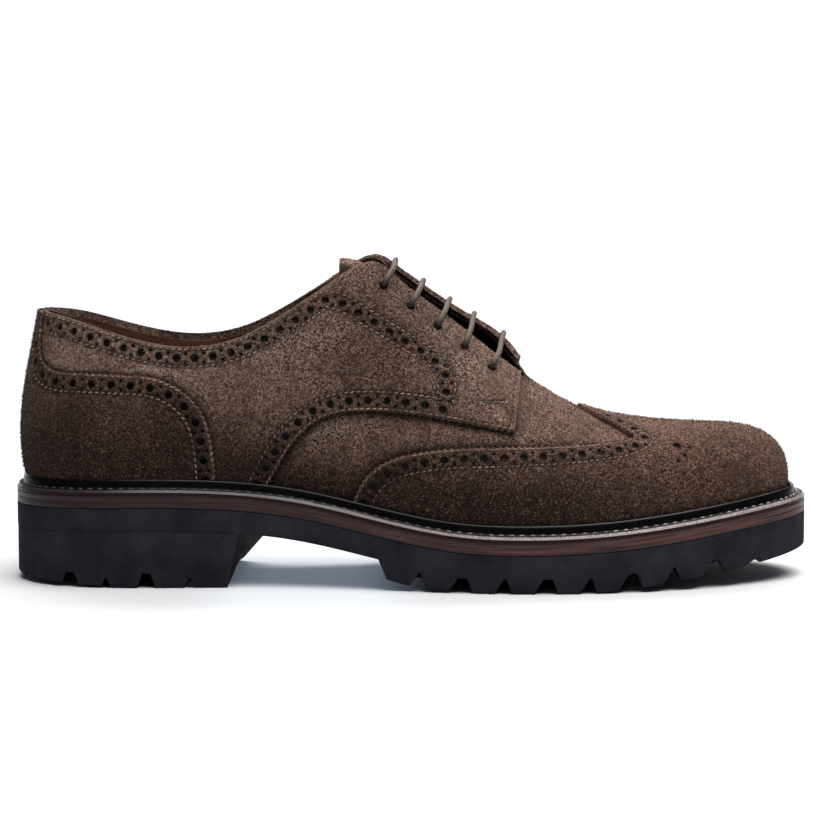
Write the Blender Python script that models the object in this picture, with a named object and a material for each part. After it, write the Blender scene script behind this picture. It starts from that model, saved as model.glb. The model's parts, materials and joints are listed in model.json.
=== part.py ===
"""Right brogue derby on a lugged rubber sole, built piece by piece round one last.

Sizes are millimetres and degrees, and MM turns them into metres when a mesh is made.
X runs from heel (-) to toe (+), the outer (lateral) side of the foot is -Y and the floor is z = 0.
A place on the upper is (way, height): way runs 0 to 2 round the sole's edge, from the heel along the
lateral side to the toe at 1 and back along the medial side, and height runs 0 to 1 from the sole's
edge up to the collar, the lacing edge or the ridge of the toe.
"""

import math
from collections import namedtuple

import bmesh
import bpy
import numpy as np
from mathutils import geometry

MM = 0.001

# Driving sizes
SOLE_LENGTH = 308.0
GAP = 0.3
OVERLAY_GAP = 0.42
UPPER_WALL = 1.8
CAP_THICK = 1.2
QUARTER_THICK = 1.6
COUNTER_THICK = 1.8
WELT_THICK = 2.4
MIDSOLE_THICK = 4.5
MIDSOLE_INSET = 0.4
WAIST_THICK = 8.5
INSOLE_THICK = 2.8
TONGUE_THICK = 1.8
LACE_RADIUS = 1.1
EYELET_RADIUS = 2.2
EYELET_COUNT = 5

# The sole's outline: half-widths on both sides of the length axis
OutlineRow = namedtuple("OutlineRow", "x lateral medial")
SOLE_OUTLINE = [
    OutlineRow(-154, 0, 0),
    OutlineRow(-146, 22.5, 22.5),
    OutlineRow(-128, 34.5, 34.5),
    OutlineRow(-100, 37.5, 36.5),
    OutlineRow(-65, 36.5, 33),
    OutlineRow(-35, 39, 31.5),
    OutlineRow(0, 46, 36),
    OutlineRow(35, 51.8, 46),
    OutlineRow(70, 50.7, 52.2),
    OutlineRow(105, 41.5, 48),
    OutlineRow(130, 28.5, 39),
    OutlineRow(146, 15.2, 27.4),
    OutlineRow(154, -6, 6),
]

# Height of the welt's top along the shoe: heel lift, waist and toe spring
WeltRow = namedtuple("WeltRow", "x z")
WELT_TOP = [
    WeltRow(-154, 37.0),
    WeltRow(-118, 37.7),
    WeltRow(-70, 37.0),
    WeltRow(-42, 33.9),
    WeltRow(-10, 27.2),
    WeltRow(14, 23.0),
    WeltRow(44, 21.8),
    WeltRow(74, 23.0),
    WeltRow(106, 26.4),
    WeltRow(132, 29.8),
    WeltRow(154, 32.6),
]

# The upper's foot stands this far inside the sole's outline
FEATHER_HEEL = 6.9
FEATHER_FORE = 8.5
FEATHER_CHANGE = (0.35, 0.60)

# Storm welt: the raised bead beside the upper, as insets from the upper's foot, and the inner edge
BEAD_OUTER_FOOT = 4.4
BEAD_OUTER_TOP = 4.0
BEAD_INNER_TOP = 3.3
BEAD_INNER_FOOT = 2.6
BEAD_HEIGHT = 3.3
WELT_INSIDE = 6.0

# Collar and lacing edge of the upper, one row for each section
OpeningRow = namedtuple("OpeningRow", "station x lateral_y lateral_z medial_y medial_z")
OPENING = [
    OpeningRow(-154, -142.8, 0, 104.4, 0, 104.4),
    OpeningRow(-146, -137.8, 12.5, 103.6, 12.5, 103.6),
    OpeningRow(-130, -126.5, 21.0, 101.0, 21.5, 101.2),
    OpeningRow(-108, -107.0, 26.0, 95.0, 27, 95.6),
    OpeningRow(-84, -84, 28.0, 91.6, 29, 92.6),
    OpeningRow(-62, -63, 27.0, 96.0, 28, 97.2),
    OpeningRow(-44, -45.5, 24.0, 105.6, 25, 106.6),
    OpeningRow(-30, -31, 19.0, 115.0, 20, 115.6),
    OpeningRow(-20, -20.5, 14, 120.8, 14, 121.6),
    OpeningRow(-12, -13, 9, 120.8, 8.5, 122.8),
    OpeningRow(-4, -5, 7.2, 115.8, 6.8, 118.8),
    OpeningRow(20, 19.5, 6.8, 97.2, 6.4, 101.2),
    OpeningRow(38, 39, 6.5, 81.6, 6, 85.0),
    OpeningRow(44.7, 45.3, 0, 77.2, 0, 77.2),
]

# Ridge of the vamp and toe, in front of the throat
RidgeRow = namedtuple("RidgeRow", "station x y z")
RIDGE = [
    RidgeRow(44.7, 45.3, 0, 77.2),
    RidgeRow(60, 60, 0.4, 68.0),
    RidgeRow(75, 75, 1.5, 62.1),
    RidgeRow(90, 88, 2.5, 59.6),
    RidgeRow(110, 101, 3.5, 58.2),
    RidgeRow(130, 111, 4.6, 57.7),
    RidgeRow(145, 116.5, 5.3, 57.5),
    RidgeRow(154, 118, 5.5, 57.5),
]
THROAT_SHARE = 19 / 32

# Shape of each section of the last: outward lean and pull at the foot, dip and pull at the top
SectionRow = namedtuple("SectionRow", "station lean low_pull dip high_pull")
SECTIONS = [
    SectionRow(-154, 17, 0.36, 82, 0.33),
    SectionRow(-115, 10, 0.32, 80, 0.35),
    SectionRow(-82, 6, 0.30, 78, 0.33),
    SectionRow(-40, 4, 0.32, 62, 0.33),
    SectionRow(-10, 4, 0.36, 42, 0.36),
    SectionRow(15, 4, 0.38, 34, 0.38),
    SectionRow(38, 4, 0.40, 22, 0.42),
    SectionRow(50, 4, 0.41, 8, 0.44),
    SectionRow(75, 5, 0.44, 0, 0.47),
    SectionRow(110, 6, 0.47, 0, 0.50),
    SectionRow(154, 7, 0.50, 0, 0.55),
]
OUTWARD_BLEND = 4.0
LEVEL_FOOT = 0.12

# Seam lines on the lateral side, as length and rise; the medial side repeats them
SeamPoint = namedtuple("SeamPoint", "x z")
WING_EDGE = [
    SeamPoint(-23, 31),
    SeamPoint(-19.2, 40),
    SeamPoint(-11.8, 47.3),
    SeamPoint(0.8, 51.7),
    SeamPoint(20.9, 53.7),
    SeamPoint(53.6, 52.8),
    SeamPoint(73.7, 54.5),
    SeamPoint(81.8, 55.6),
]
WING_LOBE_SHARE = 0.705
WING_LOBE_HEIGHT = 0.74
WING_PEAK_SHARE = 0.637
QUARTER_EDGE = [
    SeamPoint(-55, 37),
    SeamPoint(-51.2, 44.1),
    SeamPoint(-44.3, 55),
    SeamPoint(-34.2, 63.8),
    SeamPoint(-18.8, 66.9),
    SeamPoint(0.6, 65.6),
    SeamPoint(23.7, 61.6),
    SeamPoint(38.2, 58.7),
]
# Lengths on the lacing edge at the throat's corner; the facing ends at the second
THROAT_CORNER = (42.5, 39.0, 36.0)
COUNTER_EDGE = [
    SeamPoint(-74.2, 38),
    SeamPoint(-75.8, 56.4),
    SeamPoint(-78.8, 65.9),
    SeamPoint(-86.3, 74.4),
    SeamPoint(-96.4, 79.2),
    SeamPoint(-111.4, 80.5),
    SeamPoint(-130, 81),
    SeamPoint(-138, 82),
    SeamPoint(-142.4, 86),
    SeamPoint(-142.2, 101.6),
]

# Eyelets and lace
EYELET_TOP = SeamPoint(-11.2, 113.0)
EYELET_LOW = SeamPoint(31.0, 82.8)
EYELET_SIDES = 8
BAR_FORWARD = 5.0
LACE_SIDES = 6
LACE_SPACING = 3.4
LACE_PASS = 2.9
LACE_CLEAR = 0.6
# Row and side of each eyelet that the cord goes through, in order, with the eyelet it passes inside
LaceStop = namedtuple("LaceStop", "row side passed_row passed_shift")
LACE_ROUTE = [
    LaceStop(0, 1, None, 0),
    LaceStop(0, -1, 1, -LACE_PASS),
    LaceStop(2, -1, None, 0),
    LaceStop(2, 1, 3, -LACE_PASS),
    LaceStop(4, 1, None, 0),
    LaceStop(4, -1, None, 0),
    LaceStop(3, -1, None, 0),
    LaceStop(3, 1, 2, LACE_PASS),
    LaceStop(1, 1, None, 0),
    LaceStop(1, -1, None, 0),
]

# Tongue: middle line of its top face, half-width and crown across, a little higher on the medial side
TongueRow = namedtuple("TongueRow", "x z half_width crown")
TONGUE = [
    TongueRow(-28, 123.8, 15.5, 0.070),
    TongueRow(-13, 119.4, 17, 0.078),
    TongueRow(-4, 113.7, 17, 0.078),
    TongueRow(20, 95.2, 16.5, 0.078),
    TongueRow(41, 77.2, 15, 0.060),
    TongueRow(57, 66.6, 13, 0.035),
]
TONGUE_TILT = 0.10
TONGUE_COLUMNS = 13
TONGUE_ROWS = 7

# Outsole: shank step, tread line and grooves
SHANK_STEP_TOP = -12.8
SHANK_STEP_FOOT = -9.6
SHANK_COLUMNS = (-138.0, -118.0, -96.0, -74.0, -56.0, -42.0, -28.0)
TREAD_FLAT = (20.0, 60.0)
TREAD_REAR_RISE = 4.6
TREAD_REAR_LENGTH = 30.5
TREAD_TOE_RISE = 12.0
TREAD_TOE_LENGTH = 94.0
TREAD_TOE_POWER = 1.5
GROOVE_START = 2.0
GROOVE_PITCH = 16.0
GROOVE_COUNT = 9
GROOVE_HALF_MOUTH = 3.8
GROOVE_HALF_FLOOR = 1.5
GROOVE_DEPTH = 5.5
GROOVE_TOE_DEPTH = 3.2
TREAD_ROWS = (0.0, 0.26, 0.30, 0.70, 0.74, 1.0)
ROUND_END_SHARES = (0.0, 0.022, 0.044, 0.066, 0.934, 0.956, 0.978, 1.0)

# Heel block: slanted breast and notched lower edge
HEEL_INSET = 0.3
HEEL_FLAT_BACK = -100.0
HEEL_REAR_RISE = 2.4
HEEL_ROLL_POWER = 1.3
BREAST_FOOT = -70.0
BREAST_TOP_LATERAL = -65.5
BREAST_TOP_MEDIAL = -58.0
HEEL_COLUMNS = (-138.0, -123.0, -108.0, -92.0, -74.0)
HEEL_ROWS = (0.0, 0.20, 0.26, 0.74, 0.80, 1.0)
NotchRow = namedtuple("NotchRow", "x half_mouth half_roof height")
HEEL_NOTCHES = [
    NotchRow(-147.7, 1.8, 0.6, 3.5),
    NotchRow(-130, 3.5, 1.5, 5.5),
    NotchRow(-116, 1.8, 0.6, 3.5),
    NotchRow(-100.6, 3.5, 1.5, 5.5),
    NotchRow(-84.4, 1.8, 0.6, 3.5),
]

# Finishes: sRGB colour as hexadecimal digits, roughness and metallic value
Finish = namedtuple("Finish", "name colour roughness metallic")
SUEDE = Finish("brown_suede", "4A3429", 0.95, 0.0)
RUBBER = Finish("charcoal_rubber", "26262A", 0.70, 0.0)
WELT_LEATHER = Finish("black_welt_leather", "1D1A1A", 0.45, 0.0)
MIDSOLE_LEATHER = Finish("burgundy_midsole_leather", "41272A", 0.50, 0.0)
INSOLE_LEATHER = Finish("tan_insole_leather", "A9784E", 0.60, 0.0)
WAXED_CORD = Finish("taupe_waxed_cord", "5E5048", 0.75, 0.0)

# Fineness of the meshes
GRID_COLUMNS = 32
GRID_ROWS = 8
SEAM_SPACING = 6.5
PLATE_COLUMNS = 24
SHARP_ANGLE = 40.0
WELD = 0.01
STEP = 1e-3


# Curves and tables

def smooth_curve(stations, values):
    """Natural cubic spline through the values, as a function of station."""
    at = np.asarray(stations, float)
    height = np.asarray(values, float)
    count = len(at)
    gaps = np.diff(at)
    slopes = np.diff(height) / gaps
    system = np.eye(count)
    target = np.zeros(count)
    for i in range(1, count - 1):
        system[i, i - 1:i + 2] = gaps[i - 1], 2 * (gaps[i - 1] + gaps[i]), gaps[i]
        target[i] = 6 * (slopes[i] - slopes[i - 1])
    bend = np.linalg.solve(system, target)

    def value(place):
        place = np.clip(np.asarray(place, float), at[0], at[-1])
        i = np.clip(np.searchsorted(at, place) - 1, 0, count - 2)
        before = at[i + 1] - place
        after = place - at[i]
        gap = gaps[i]
        cubic = (bend[i] * before ** 3 + bend[i + 1] * after ** 3) / (6 * gap)
        low = (height[i] / gap - bend[i] * gap / 6) * before
        high = (height[i + 1] / gap - bend[i + 1] * gap / 6) * after
        return cubic + low + high

    return value


def share_at(x):
    """Share of the way from heel (0) to toe (1) of a length x, close together at both ends."""
    return np.arccos(np.clip(-2 * np.asarray(x, float) / SOLE_LENGTH, -1, 1)) / math.pi


def length_at(share):
    """Length x at a share of the way from heel to toe."""
    return -SOLE_LENGTH / 2 * np.cos(np.pi * np.asarray(share, float))


def table_curves(rows):
    """One smooth curve for each column of a table, as functions of the share at its first column."""
    stations = [float(share_at(row[0])) for row in rows]
    return type(rows[0])(*(smooth_curve(stations, column) for column in zip(*rows)))


OUTLINE = table_curves(SOLE_OUTLINE)
OPENING_CURVES = table_curves(OPENING)
RIDGE_CURVES = table_curves(RIDGE)
SECTION_CURVES = table_curves(SECTIONS)
welt_top = smooth_curve(*zip(*WELT_TOP))


def unit(vectors):
    """Vectors scaled to length one, upright where they have no length."""
    length = np.linalg.norm(vectors, axis=-1, keepdims=True)
    fallback = np.zeros_like(vectors)
    fallback[..., -1] = 1.0
    return np.where(length > 1e-9, vectors / np.maximum(length, 1e-9), fallback)


def ramp(value, start, end):
    """Smooth step from 0 at start to 1 at end."""
    part = np.clip((value - start) / (end - start), 0, 1)
    return part * part * (3 - 2 * part)


# The last

def fold(way):
    """Share from heel to toe of a place on the way round, and whether it is on the lateral side."""
    way = np.mod(way, 2.0)
    lateral = way <= 1.0
    return np.where(lateral, way, 2.0 - way), lateral


def outline_point(way):
    """Plan point on the sole's outline."""
    share, lateral = fold(way)
    side = np.where(lateral, -OUTLINE.lateral(share), OUTLINE.medial(share))
    return np.stack([length_at(share), side], -1)


def outline_inward(way):
    """Plan direction from the sole's outline straight inwards."""
    tangent = unit(outline_point(way + STEP) - outline_point(way - STEP))
    return np.stack([-tangent[..., 1], tangent[..., 0]], -1)


def sole_edge(way, inset):
    """Plan point on the sole's outline moved inwards by inset."""
    return outline_point(way) + np.asarray(inset)[..., None] * outline_inward(way)


def feather_inset(way):
    """Inset of the upper's foot from the sole's outline."""
    share, _ = fold(way)
    return FEATHER_HEEL + (FEATHER_FORE - FEATHER_HEEL) * ramp(share, *FEATHER_CHANGE)


def feather(way):
    """Foot of the upper, just above the welt."""
    plan = sole_edge(way, feather_inset(way))
    return np.concatenate([plan, (welt_top(plan[..., 0]) + GAP)[..., None]], -1)


def top_edge(way):
    """Collar, lacing edge or ridge above a place on the way round."""
    share, lateral = fold(way)
    opening = np.stack([
        OPENING_CURVES.x(share),
        np.where(lateral, -OPENING_CURVES.lateral_y(share), OPENING_CURVES.medial_y(share)),
        np.where(lateral, OPENING_CURVES.lateral_z(share), OPENING_CURVES.medial_z(share)),
    ], -1)
    ridge = np.stack([RIDGE_CURVES.x(share), RIDGE_CURVES.y(share), RIDGE_CURVES.z(share)], -1)
    return np.where((share < THROAT_SHARE)[..., None], opening, ridge)


def skin(way, height):
    """Outer face of the upper: a cubic arc from its foot to its top edge."""
    way, height = np.broadcast_arrays(np.asarray(way, float), np.asarray(height, float))
    share, _ = fold(way)
    foot = feather(way)
    top = top_edge(way)
    reach = np.linalg.norm(top - foot, axis=-1)
    flat = np.zeros_like(reach)
    outward = np.concatenate([-outline_inward(way), flat[..., None]], -1)
    up = np.stack([flat, flat, np.ones_like(reach)], -1)
    lean = np.radians(SECTION_CURVES.lean(share))[..., None]
    dip = np.radians(SECTION_CURVES.dip(share))[..., None]
    away = (foot - top) * (1.0, 1.0, 0.0)
    away = unit(away + OUTWARD_BLEND * outward)
    low_reach = (reach * SECTION_CURVES.low_pull(share))[..., None]
    high_reach = (reach * SECTION_CURVES.high_pull(share))[..., None]
    low = foot + low_reach * (np.sin(lean) * outward + np.cos(lean) * up)
    high = top + high_reach * (np.cos(dip) * away - np.sin(dip) * up)
    part = height[..., None]
    rest = 1 - part
    return rest ** 3 * foot + 3 * rest ** 2 * part * low + 3 * rest * part ** 2 * high + part ** 3 * top


def skin_beyond(way, height):
    """Outer face carried on across the ridge of the toe, and stopped at the open edges."""
    share, _ = fold(way)
    closed = (share >= THROAT_SHARE) & (height > 1)
    return skin(np.where(closed, 2 - way, way), np.where(closed, 2 - height, np.clip(height, 0, 1)))


def skin_normal(way, height):
    """Outward direction of the upper's outer face, level at its foot."""
    along = skin(way + STEP, height) - skin(way - STEP, height)
    rise = skin_beyond(way, height + STEP) - skin_beyond(way, height - STEP)
    outward = unit(np.cross(along, rise))
    outward[..., 2] *= ramp(height, 0.0, LEVEL_FOOT)
    return unit(outward)


def skin_raised(way, height, raise_by):
    """Point at a distance outside (+) or inside (-) the upper's outer face."""
    way, height = np.broadcast_arrays(np.asarray(way, float), np.asarray(height, float))
    return skin(way, height) + np.asarray(raise_by)[..., None] * skin_normal(way, height)


def locate(points):
    """Places on the lateral skin that lie at the given lengths and rises."""
    ways, heights = np.meshgrid(np.linspace(0, 1, 97), np.linspace(0, 1, 49), indexing="ij")
    seen = skin(ways, heights)[..., [0, 2]]
    places = []
    for point in points:
        nearest = ((seen - point) ** 2).sum(-1).argmin()
        place = np.array([ways.flat[nearest], heights.flat[nearest]])
        for _ in range(10):
            here = skin(*place)[[0, 2]]
            forward = skin(place[0] + STEP, place[1])[[0, 2]] - here
            upward = skin(place[0], place[1] + STEP)[[0, 2]] - here
            change = np.linalg.solve(np.stack([forward, upward], -1) / STEP, point - here)
            place = np.clip(place + 0.8 * np.clip(change, -0.03, 0.03), 0, 1)
        places.append(place)
    return np.array(places)


def seam(points, spacing):
    """Smooth line through seam points, as evenly spaced places on the lateral skin."""
    points = np.asarray(points, float)
    run = np.concatenate([[0], np.cumsum(np.linalg.norm(np.diff(points, axis=0), axis=1))])
    at = np.linspace(0, run[-1], 1 + round(run[-1] / spacing))
    x, z = (smooth_curve(run, column)(at) for column in points.T)
    return locate(np.stack([x, z], -1))


def across(places):
    """The same places on the medial side."""
    return np.stack([2 - places[:, 0], places[:, 1]], -1)


# Solids

def add_piece(name, points, faces, finish):
    """One closed body with its own material."""
    mesh = bpy.data.meshes.new(name)
    mesh.from_pydata((np.asarray(points) * MM).tolist(), [], faces)
    mesh.validate()
    mesh.shade_smooth()
    mesh.set_sharp_from_angle(angle=math.radians(SHARP_ANGLE))
    mesh.materials.append(material(finish))
    piece = bpy.data.objects.new(name, mesh)
    bpy.context.scene.collection.objects.link(piece)
    piece.parent = bpy.data.objects[ROOT_NAME]
    return piece


def material(finish):
    """Principled material of a finish, made once."""
    if finish.name in bpy.data.materials:
        return bpy.data.materials[finish.name]
    made = bpy.data.materials.new(finish.name)
    made.use_nodes = True
    shader = made.node_tree.nodes["Principled BSDF"]
    parts = [int(finish.colour[i:i + 2], 16) / 255 for i in (0, 2, 4)]
    linear = [((c + 0.055) / 1.055) ** 2.4 if c > 0.04045 else c / 12.92 for c in parts]
    shader.inputs["Base Color"].default_value = (*linear, 1.0)
    shader.inputs["Roughness"].default_value = finish.roughness
    shader.inputs["Metallic"].default_value = finish.metallic
    made.diffuse_color = (*linear, 1.0)
    return made


def weld_map(points):
    """For each point, the index of the first point at the same place."""
    gathered = bmesh.new()
    corners = [gathered.verts.new(point) for point in points]
    gathered.verts.index_update()
    same = bmesh.ops.find_doubles(gathered, verts=corners, dist=WELD)["targetmap"]
    target = {source.index: kept.index for source, kept in same.items()}
    gathered.free()
    return [target.get(i, i) for i in range(len(points))]


def shell(name, faces, outer, inner, finish):
    """Closed body between an outer and an inner face that share one set of face corners."""
    kept = weld_map(outer)
    welded = []
    for face in faces:
        corners = [kept[i] for i in face]
        corners = [c for i, c in enumerate(corners) if c != corners[i - 1]]
        if len(corners) >= 3:
            welded.append(corners)
    count = len(outer)
    edges = {(a, b) for face in welded for a, b in zip(face, face[1:] + face[:1])}
    rim = [(a, b) for a, b in edges if (b, a) not in edges]
    walls = [(b, a, a + count, b + count) for a, b in sorted(rim)]
    backs = [[i + count for i in reversed(face)] for face in welded]
    used = sorted({i for face in welded for i in face})
    used += [i + count for i in used]
    number = {old: new for new, old in enumerate(used)}
    points = np.concatenate([outer, inner])[used]
    return add_piece(name, points, [[number[i] for i in face] for face in welded + backs + walls], finish)


def ladder(columns, rows):
    """Corners and faces of a grid with the given columns and rows."""
    places = np.array([(column, row) for column in columns for row in rows], float)
    high = len(rows)
    faces = []
    for i in range(len(columns) - 1):
        for j in range(high - 1):
            first = i * high + j
            faces.append((first, first + high, first + high + 1, first + 1))
    return places, faces


def turned_left(loop):
    """A ring of places put in counterclockwise order."""
    loop = np.asarray(loop, float)
    following = np.roll(loop, -1, axis=0)
    area = (loop[:, 0] * following[:, 1] - following[:, 0] * loop[:, 1]).sum()
    return loop if area > 0 else loop[::-1]


def cut_grid(region, holes):
    """The upper's grid of places cut to a region, less its holes, as corners and triangles."""
    region = np.asarray(region, float)
    first = math.floor(region[:, 0].min() * GRID_COLUMNS)
    last = math.ceil(region[:, 0].max() * GRID_COLUMNS)
    columns = [i / GRID_COLUMNS for i in range(first, last + 1)]
    rows = [j / GRID_ROWS for j in range(GRID_ROWS + 1)]
    corners = [(column, row) for column in columns for row in rows]
    high = len(rows)
    edges = [(i, i + 1) for i in range(len(corners)) if (i + 1) % high]
    edges += [(i, i + high) for i in range(len(corners) - high)]
    loops = []
    for loop in [region, *holes]:
        loops.append(list(range(len(corners), len(corners) + len(loop))))
        corners += [tuple(place) for place in turned_left(loop)]
    made = geometry.delaunay_2d_cdt(corners, edges, loops, 0, 1e-6)
    places = np.array([tuple(corner) for corner in made[0]])
    faces = [list(face) for face, sources in zip(made[2], made[5]) if list(sources) == [0]]
    return places, faces


def panel(name, region, holes, low, high, finish):
    """Part of the upper between two distances from its outer face."""
    places, faces = cut_grid(region, holes)
    outer = skin_raised(places[:, 0], places[:, 1], np.full(len(places), high))
    inner = skin_raised(places[:, 0], places[:, 1], np.full(len(places), low))
    return shell(name, faces, outer, inner, finish)


# Upper and its overlays

def eyelet_places():
    """Places of the lateral eyelets, from the top one to the lowest."""
    top = np.asarray(EYELET_TOP)
    low = np.asarray(EYELET_LOW)
    return locate([top + (low - top) * i / (EYELET_COUNT - 1) for i in range(EYELET_COUNT)])


def skin_steps(place):
    """How far the outer face moves along its length and its height for a unit of place."""
    way, height = place
    along = (skin(way + STEP, height) - skin(way - STEP, height)) / (2 * STEP)
    rise = (skin(way, height + STEP) - skin(way, height - STEP)) / (2 * STEP)
    return along, rise


def eyelet_hole(place):
    """Round hole about a place, as a ring of places."""
    along, rise = skin_steps(place)
    first = unit(along)
    second = unit(np.cross(skin_normal(*place), first))
    measure = np.array([[along @ first, rise @ first], [along @ second, rise @ second]])
    turn = np.arange(EYELET_SIDES) * 2 * math.pi / EYELET_SIDES
    ring = EYELET_RADIUS * np.stack([np.cos(turn), np.sin(turn)])
    return place + np.linalg.solve(measure, ring).T


def make_upper(lateral_holes, medial_holes):
    """Vamp, quarters and lining as one wall, open at collar, throat and underneath."""
    corner = np.array([(WING_PEAK_SHARE, 1.0), *((share_at(x), 1.0) for x in THROAT_CORNER)])
    region = [(0, 0), (2, 0), (2, 1), *across(corner)[::-1], *corner, (0, 1)]
    panel("upper", region, lateral_holes + medial_holes, -UPPER_WALL, 0.0, SUEDE)


def make_wing_cap():
    """Toe cap with wings along both sides and a peak on the vamp."""
    side = seam(WING_EDGE, SEAM_SPACING)
    side[0, 1] = 0
    lobe = (WING_LOBE_SHARE, WING_LOBE_HEIGHT)
    peak = (WING_PEAK_SHARE, 1)
    edge = np.array([*side, lobe, peak])
    region = [*edge, *across(edge)[::-1]]
    panel("wing_cap", region, [], OVERLAY_GAP, OVERLAY_GAP + CAP_THICK, SUEDE)


def counter_edge(clearance):
    """Front and top edge of the heel counter, moved forwards and up by a clearance."""
    side = seam([(x + clearance, z + clearance) for x, z in COUNTER_EDGE], SEAM_SPACING)
    side[0, 1] = 0
    side[-1, 1] = 1
    return side


def make_quarters(lateral_holes, medial_holes):
    """Quarters with their lacing facings, from the counter to the throat."""
    low = seam(QUARTER_EDGE, SEAM_SPACING)
    low[0, 1] = 0
    front = [(share_at(x), 1.0) for x in THROAT_CORNER[1:]]
    region = np.array([*low, *front, *counter_edge(2 * GAP)[::-1]])
    panel("quarter_lateral", region, lateral_holes, OVERLAY_GAP, OVERLAY_GAP + QUARTER_THICK, SUEDE)
    panel("quarter_medial", across(region), medial_holes, OVERLAY_GAP, OVERLAY_GAP + QUARTER_THICK, SUEDE)


def make_heel_counter():
    """Counter round the heel with its back strip up to the collar."""
    side = counter_edge(0.0)
    region = [*side, *(side[::-1] * (-1, 1))]
    panel("heel_counter", region, [], OVERLAY_GAP, OVERLAY_GAP + COUNTER_THICK, SUEDE)


# Tongue and lace

def make_tongue():
    """Tongue under the lacing, crowned across and a little higher on the medial side."""
    rows = np.array(TONGUE)
    run = np.concatenate([[0], np.cumsum(np.hypot(*np.diff(rows[:, :2], axis=0).T))])
    line = TongueRow(*(smooth_curve(run / run[-1], column) for column in rows.T))

    def face(along, side):
        y = side * line.half_width(along)
        return np.stack([line.x(along), y, line.z(along) + TONGUE_TILT * y - line.crown(along) * y * y], -1)

    places, faces = ladder(np.linspace(0, 1, TONGUE_COLUMNS), np.linspace(-1, 1, TONGUE_ROWS))
    along, side = places.T
    lengthwise = face(along + STEP, side) - face(along - STEP, side)
    sideways = face(along, side + STEP) - face(along, side - STEP)
    outer = face(along, side)
    inner = outer - TONGUE_THICK * unit(np.cross(lengthwise, sideways))
    shell("tongue", faces, outer, inner, SUEDE)


def smooth_path(points, spacing):
    """Evenly spaced points on a smooth line through a route's points."""
    points = np.asarray(points)
    run = np.concatenate([[0], np.cumsum(np.linalg.norm(np.diff(points, axis=0), axis=1))])
    curves = [smooth_curve(run, column) for column in points.T]
    at = np.linspace(0, run[-1], 1 + round(run[-1] / spacing))
    return np.stack([curve(at) for curve in curves], -1)


def tube(name, path, radius, sides, finish):
    """Cord along a path, with closed ends."""
    heading = unit(np.gradient(path, axis=0))
    across_way = np.zeros_like(path)
    across_way[0] = unit(np.cross(heading[0], (0.3, 0.5, 0.8)))
    for i in range(1, len(path)):
        across_way[i] = unit(across_way[i - 1] - heading[i] * (across_way[i - 1] @ heading[i]))
    other_way = np.cross(heading, across_way)
    turn = np.arange(sides) * 2 * math.pi / sides
    cosine = np.cos(turn)[None, :, None]
    sine = np.sin(turn)[None, :, None]
    rings = path[:, None] + radius * (cosine * across_way[:, None] + sine * other_way[:, None])
    faces = []
    for i in range(len(path) - 1):
        for j in range(sides):
            beside = (j + 1) % sides
            faces.append((i * sides + j, i * sides + beside, (i + 1) * sides + beside, (i + 1) * sides + j))
    faces.append(tuple(reversed(range(sides))))
    faces.append(tuple(range((len(path) - 1) * sides, len(path) * sides)))
    add_piece(name, rings.reshape(-1, 3), faces, finish)


def make_lace(places):
    """One cord: straight bars over the facings, through the eyelets, and runs behind the facings."""
    over = OVERLAY_GAP + QUARTER_THICK + GAP + LACE_RADIUS
    under = -(UPPER_WALL + LACE_CLEAR + LACE_RADIUS)

    def place_of(row, side):
        way, height = places[row]
        return np.array([way if side < 0 else 2 - way, height])

    def edge_of(row, side):
        share = float(share_at(skin(*places[row])[0] + BAR_FORWARD))
        return np.array([share if side < 0 else 2 - share, 1.0])

    def point(place, raise_by):
        return skin_raised(place[0], place[1], np.array(raise_by))

    def towards(start, end, distance):
        length = np.linalg.norm(skin(*end) - skin(*start))
        return start + (end - start) * distance / length

    def bend(place, goal, level):
        """From the middle of an eyelet out to a run at a level, headed for a goal."""
        return [
            point(place, 0.25 * level),
            point(towards(place, goal, 0.5), 0.86 * level),
            point(towards(place, goal, 2.2), level),
        ]

    route = []
    for index, stop in enumerate(LACE_ROUTE):
        here = place_of(stop.row, stop.side)
        above = index % 2 == 0
        if index == 0:
            route += [point(here, under), point(here, 0.4 * under)]
        if index + 1 == len(LACE_ROUTE):
            beyond = place_of(0, stop.side) + (0, LACE_PASS / np.linalg.norm(skin_steps(here)[1]))
            route += bend(here, beyond, under)
            route.append(point(beyond, under))
            break
        following = LACE_ROUTE[index + 1]
        there = place_of(following.row, following.side)
        if above:
            edge_here = edge_of(stop.row, stop.side)
            edge_there = edge_of(stop.row, following.side)
            route += bend(here, edge_here, over)
            route += [point(edge_here, over), point(edge_there, over)]
            route += bend(there, edge_there, over)[::-1]
            continue
        if stop.passed_row is None:
            route += bend(here, there, under) + bend(there, here, under)[::-1]
            continue
        passed = place_of(stop.passed_row, stop.side)
        passed = passed + (0, stop.passed_shift / np.linalg.norm(skin_steps(passed)[1]))
        route += bend(here, passed, under) + [point(passed, under)] + bend(there, passed, under)[::-1]
    tube("lace", smooth_path(route, LACE_SPACING), LACE_RADIUS, LACE_SIDES, WAXED_CORD)


# Sole

def plate_places(columns, rows, inset):
    """Plan points of a plate inside the sole's outline, with columns as shares from heel to toe."""
    places, faces = ladder(columns, rows)
    share, part = places.T
    lateral = sole_edge(share, inset(share))
    medial = sole_edge(2 - share, inset(2 - share))
    return share, part, lateral + part[:, None] * (medial - lateral), faces


def plate(name, columns, rows, inset, top, bottom, finish):
    """Body between two heights over a plan, each a function of share, part across and plan points."""
    share, part, plan, faces = plate_places(columns, rows, inset)
    outer = np.concatenate([plan, top(share, part, plan)[:, None]], -1)
    inner = np.concatenate([plan, bottom(share, part, plan)[:, None]], -1)
    shell(name, faces, outer, inner, finish)


def under_welt(depth):
    """Height at a depth under the welt's top."""
    return lambda share, part, plan: welt_top(plan[:, 0]) - depth


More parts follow.
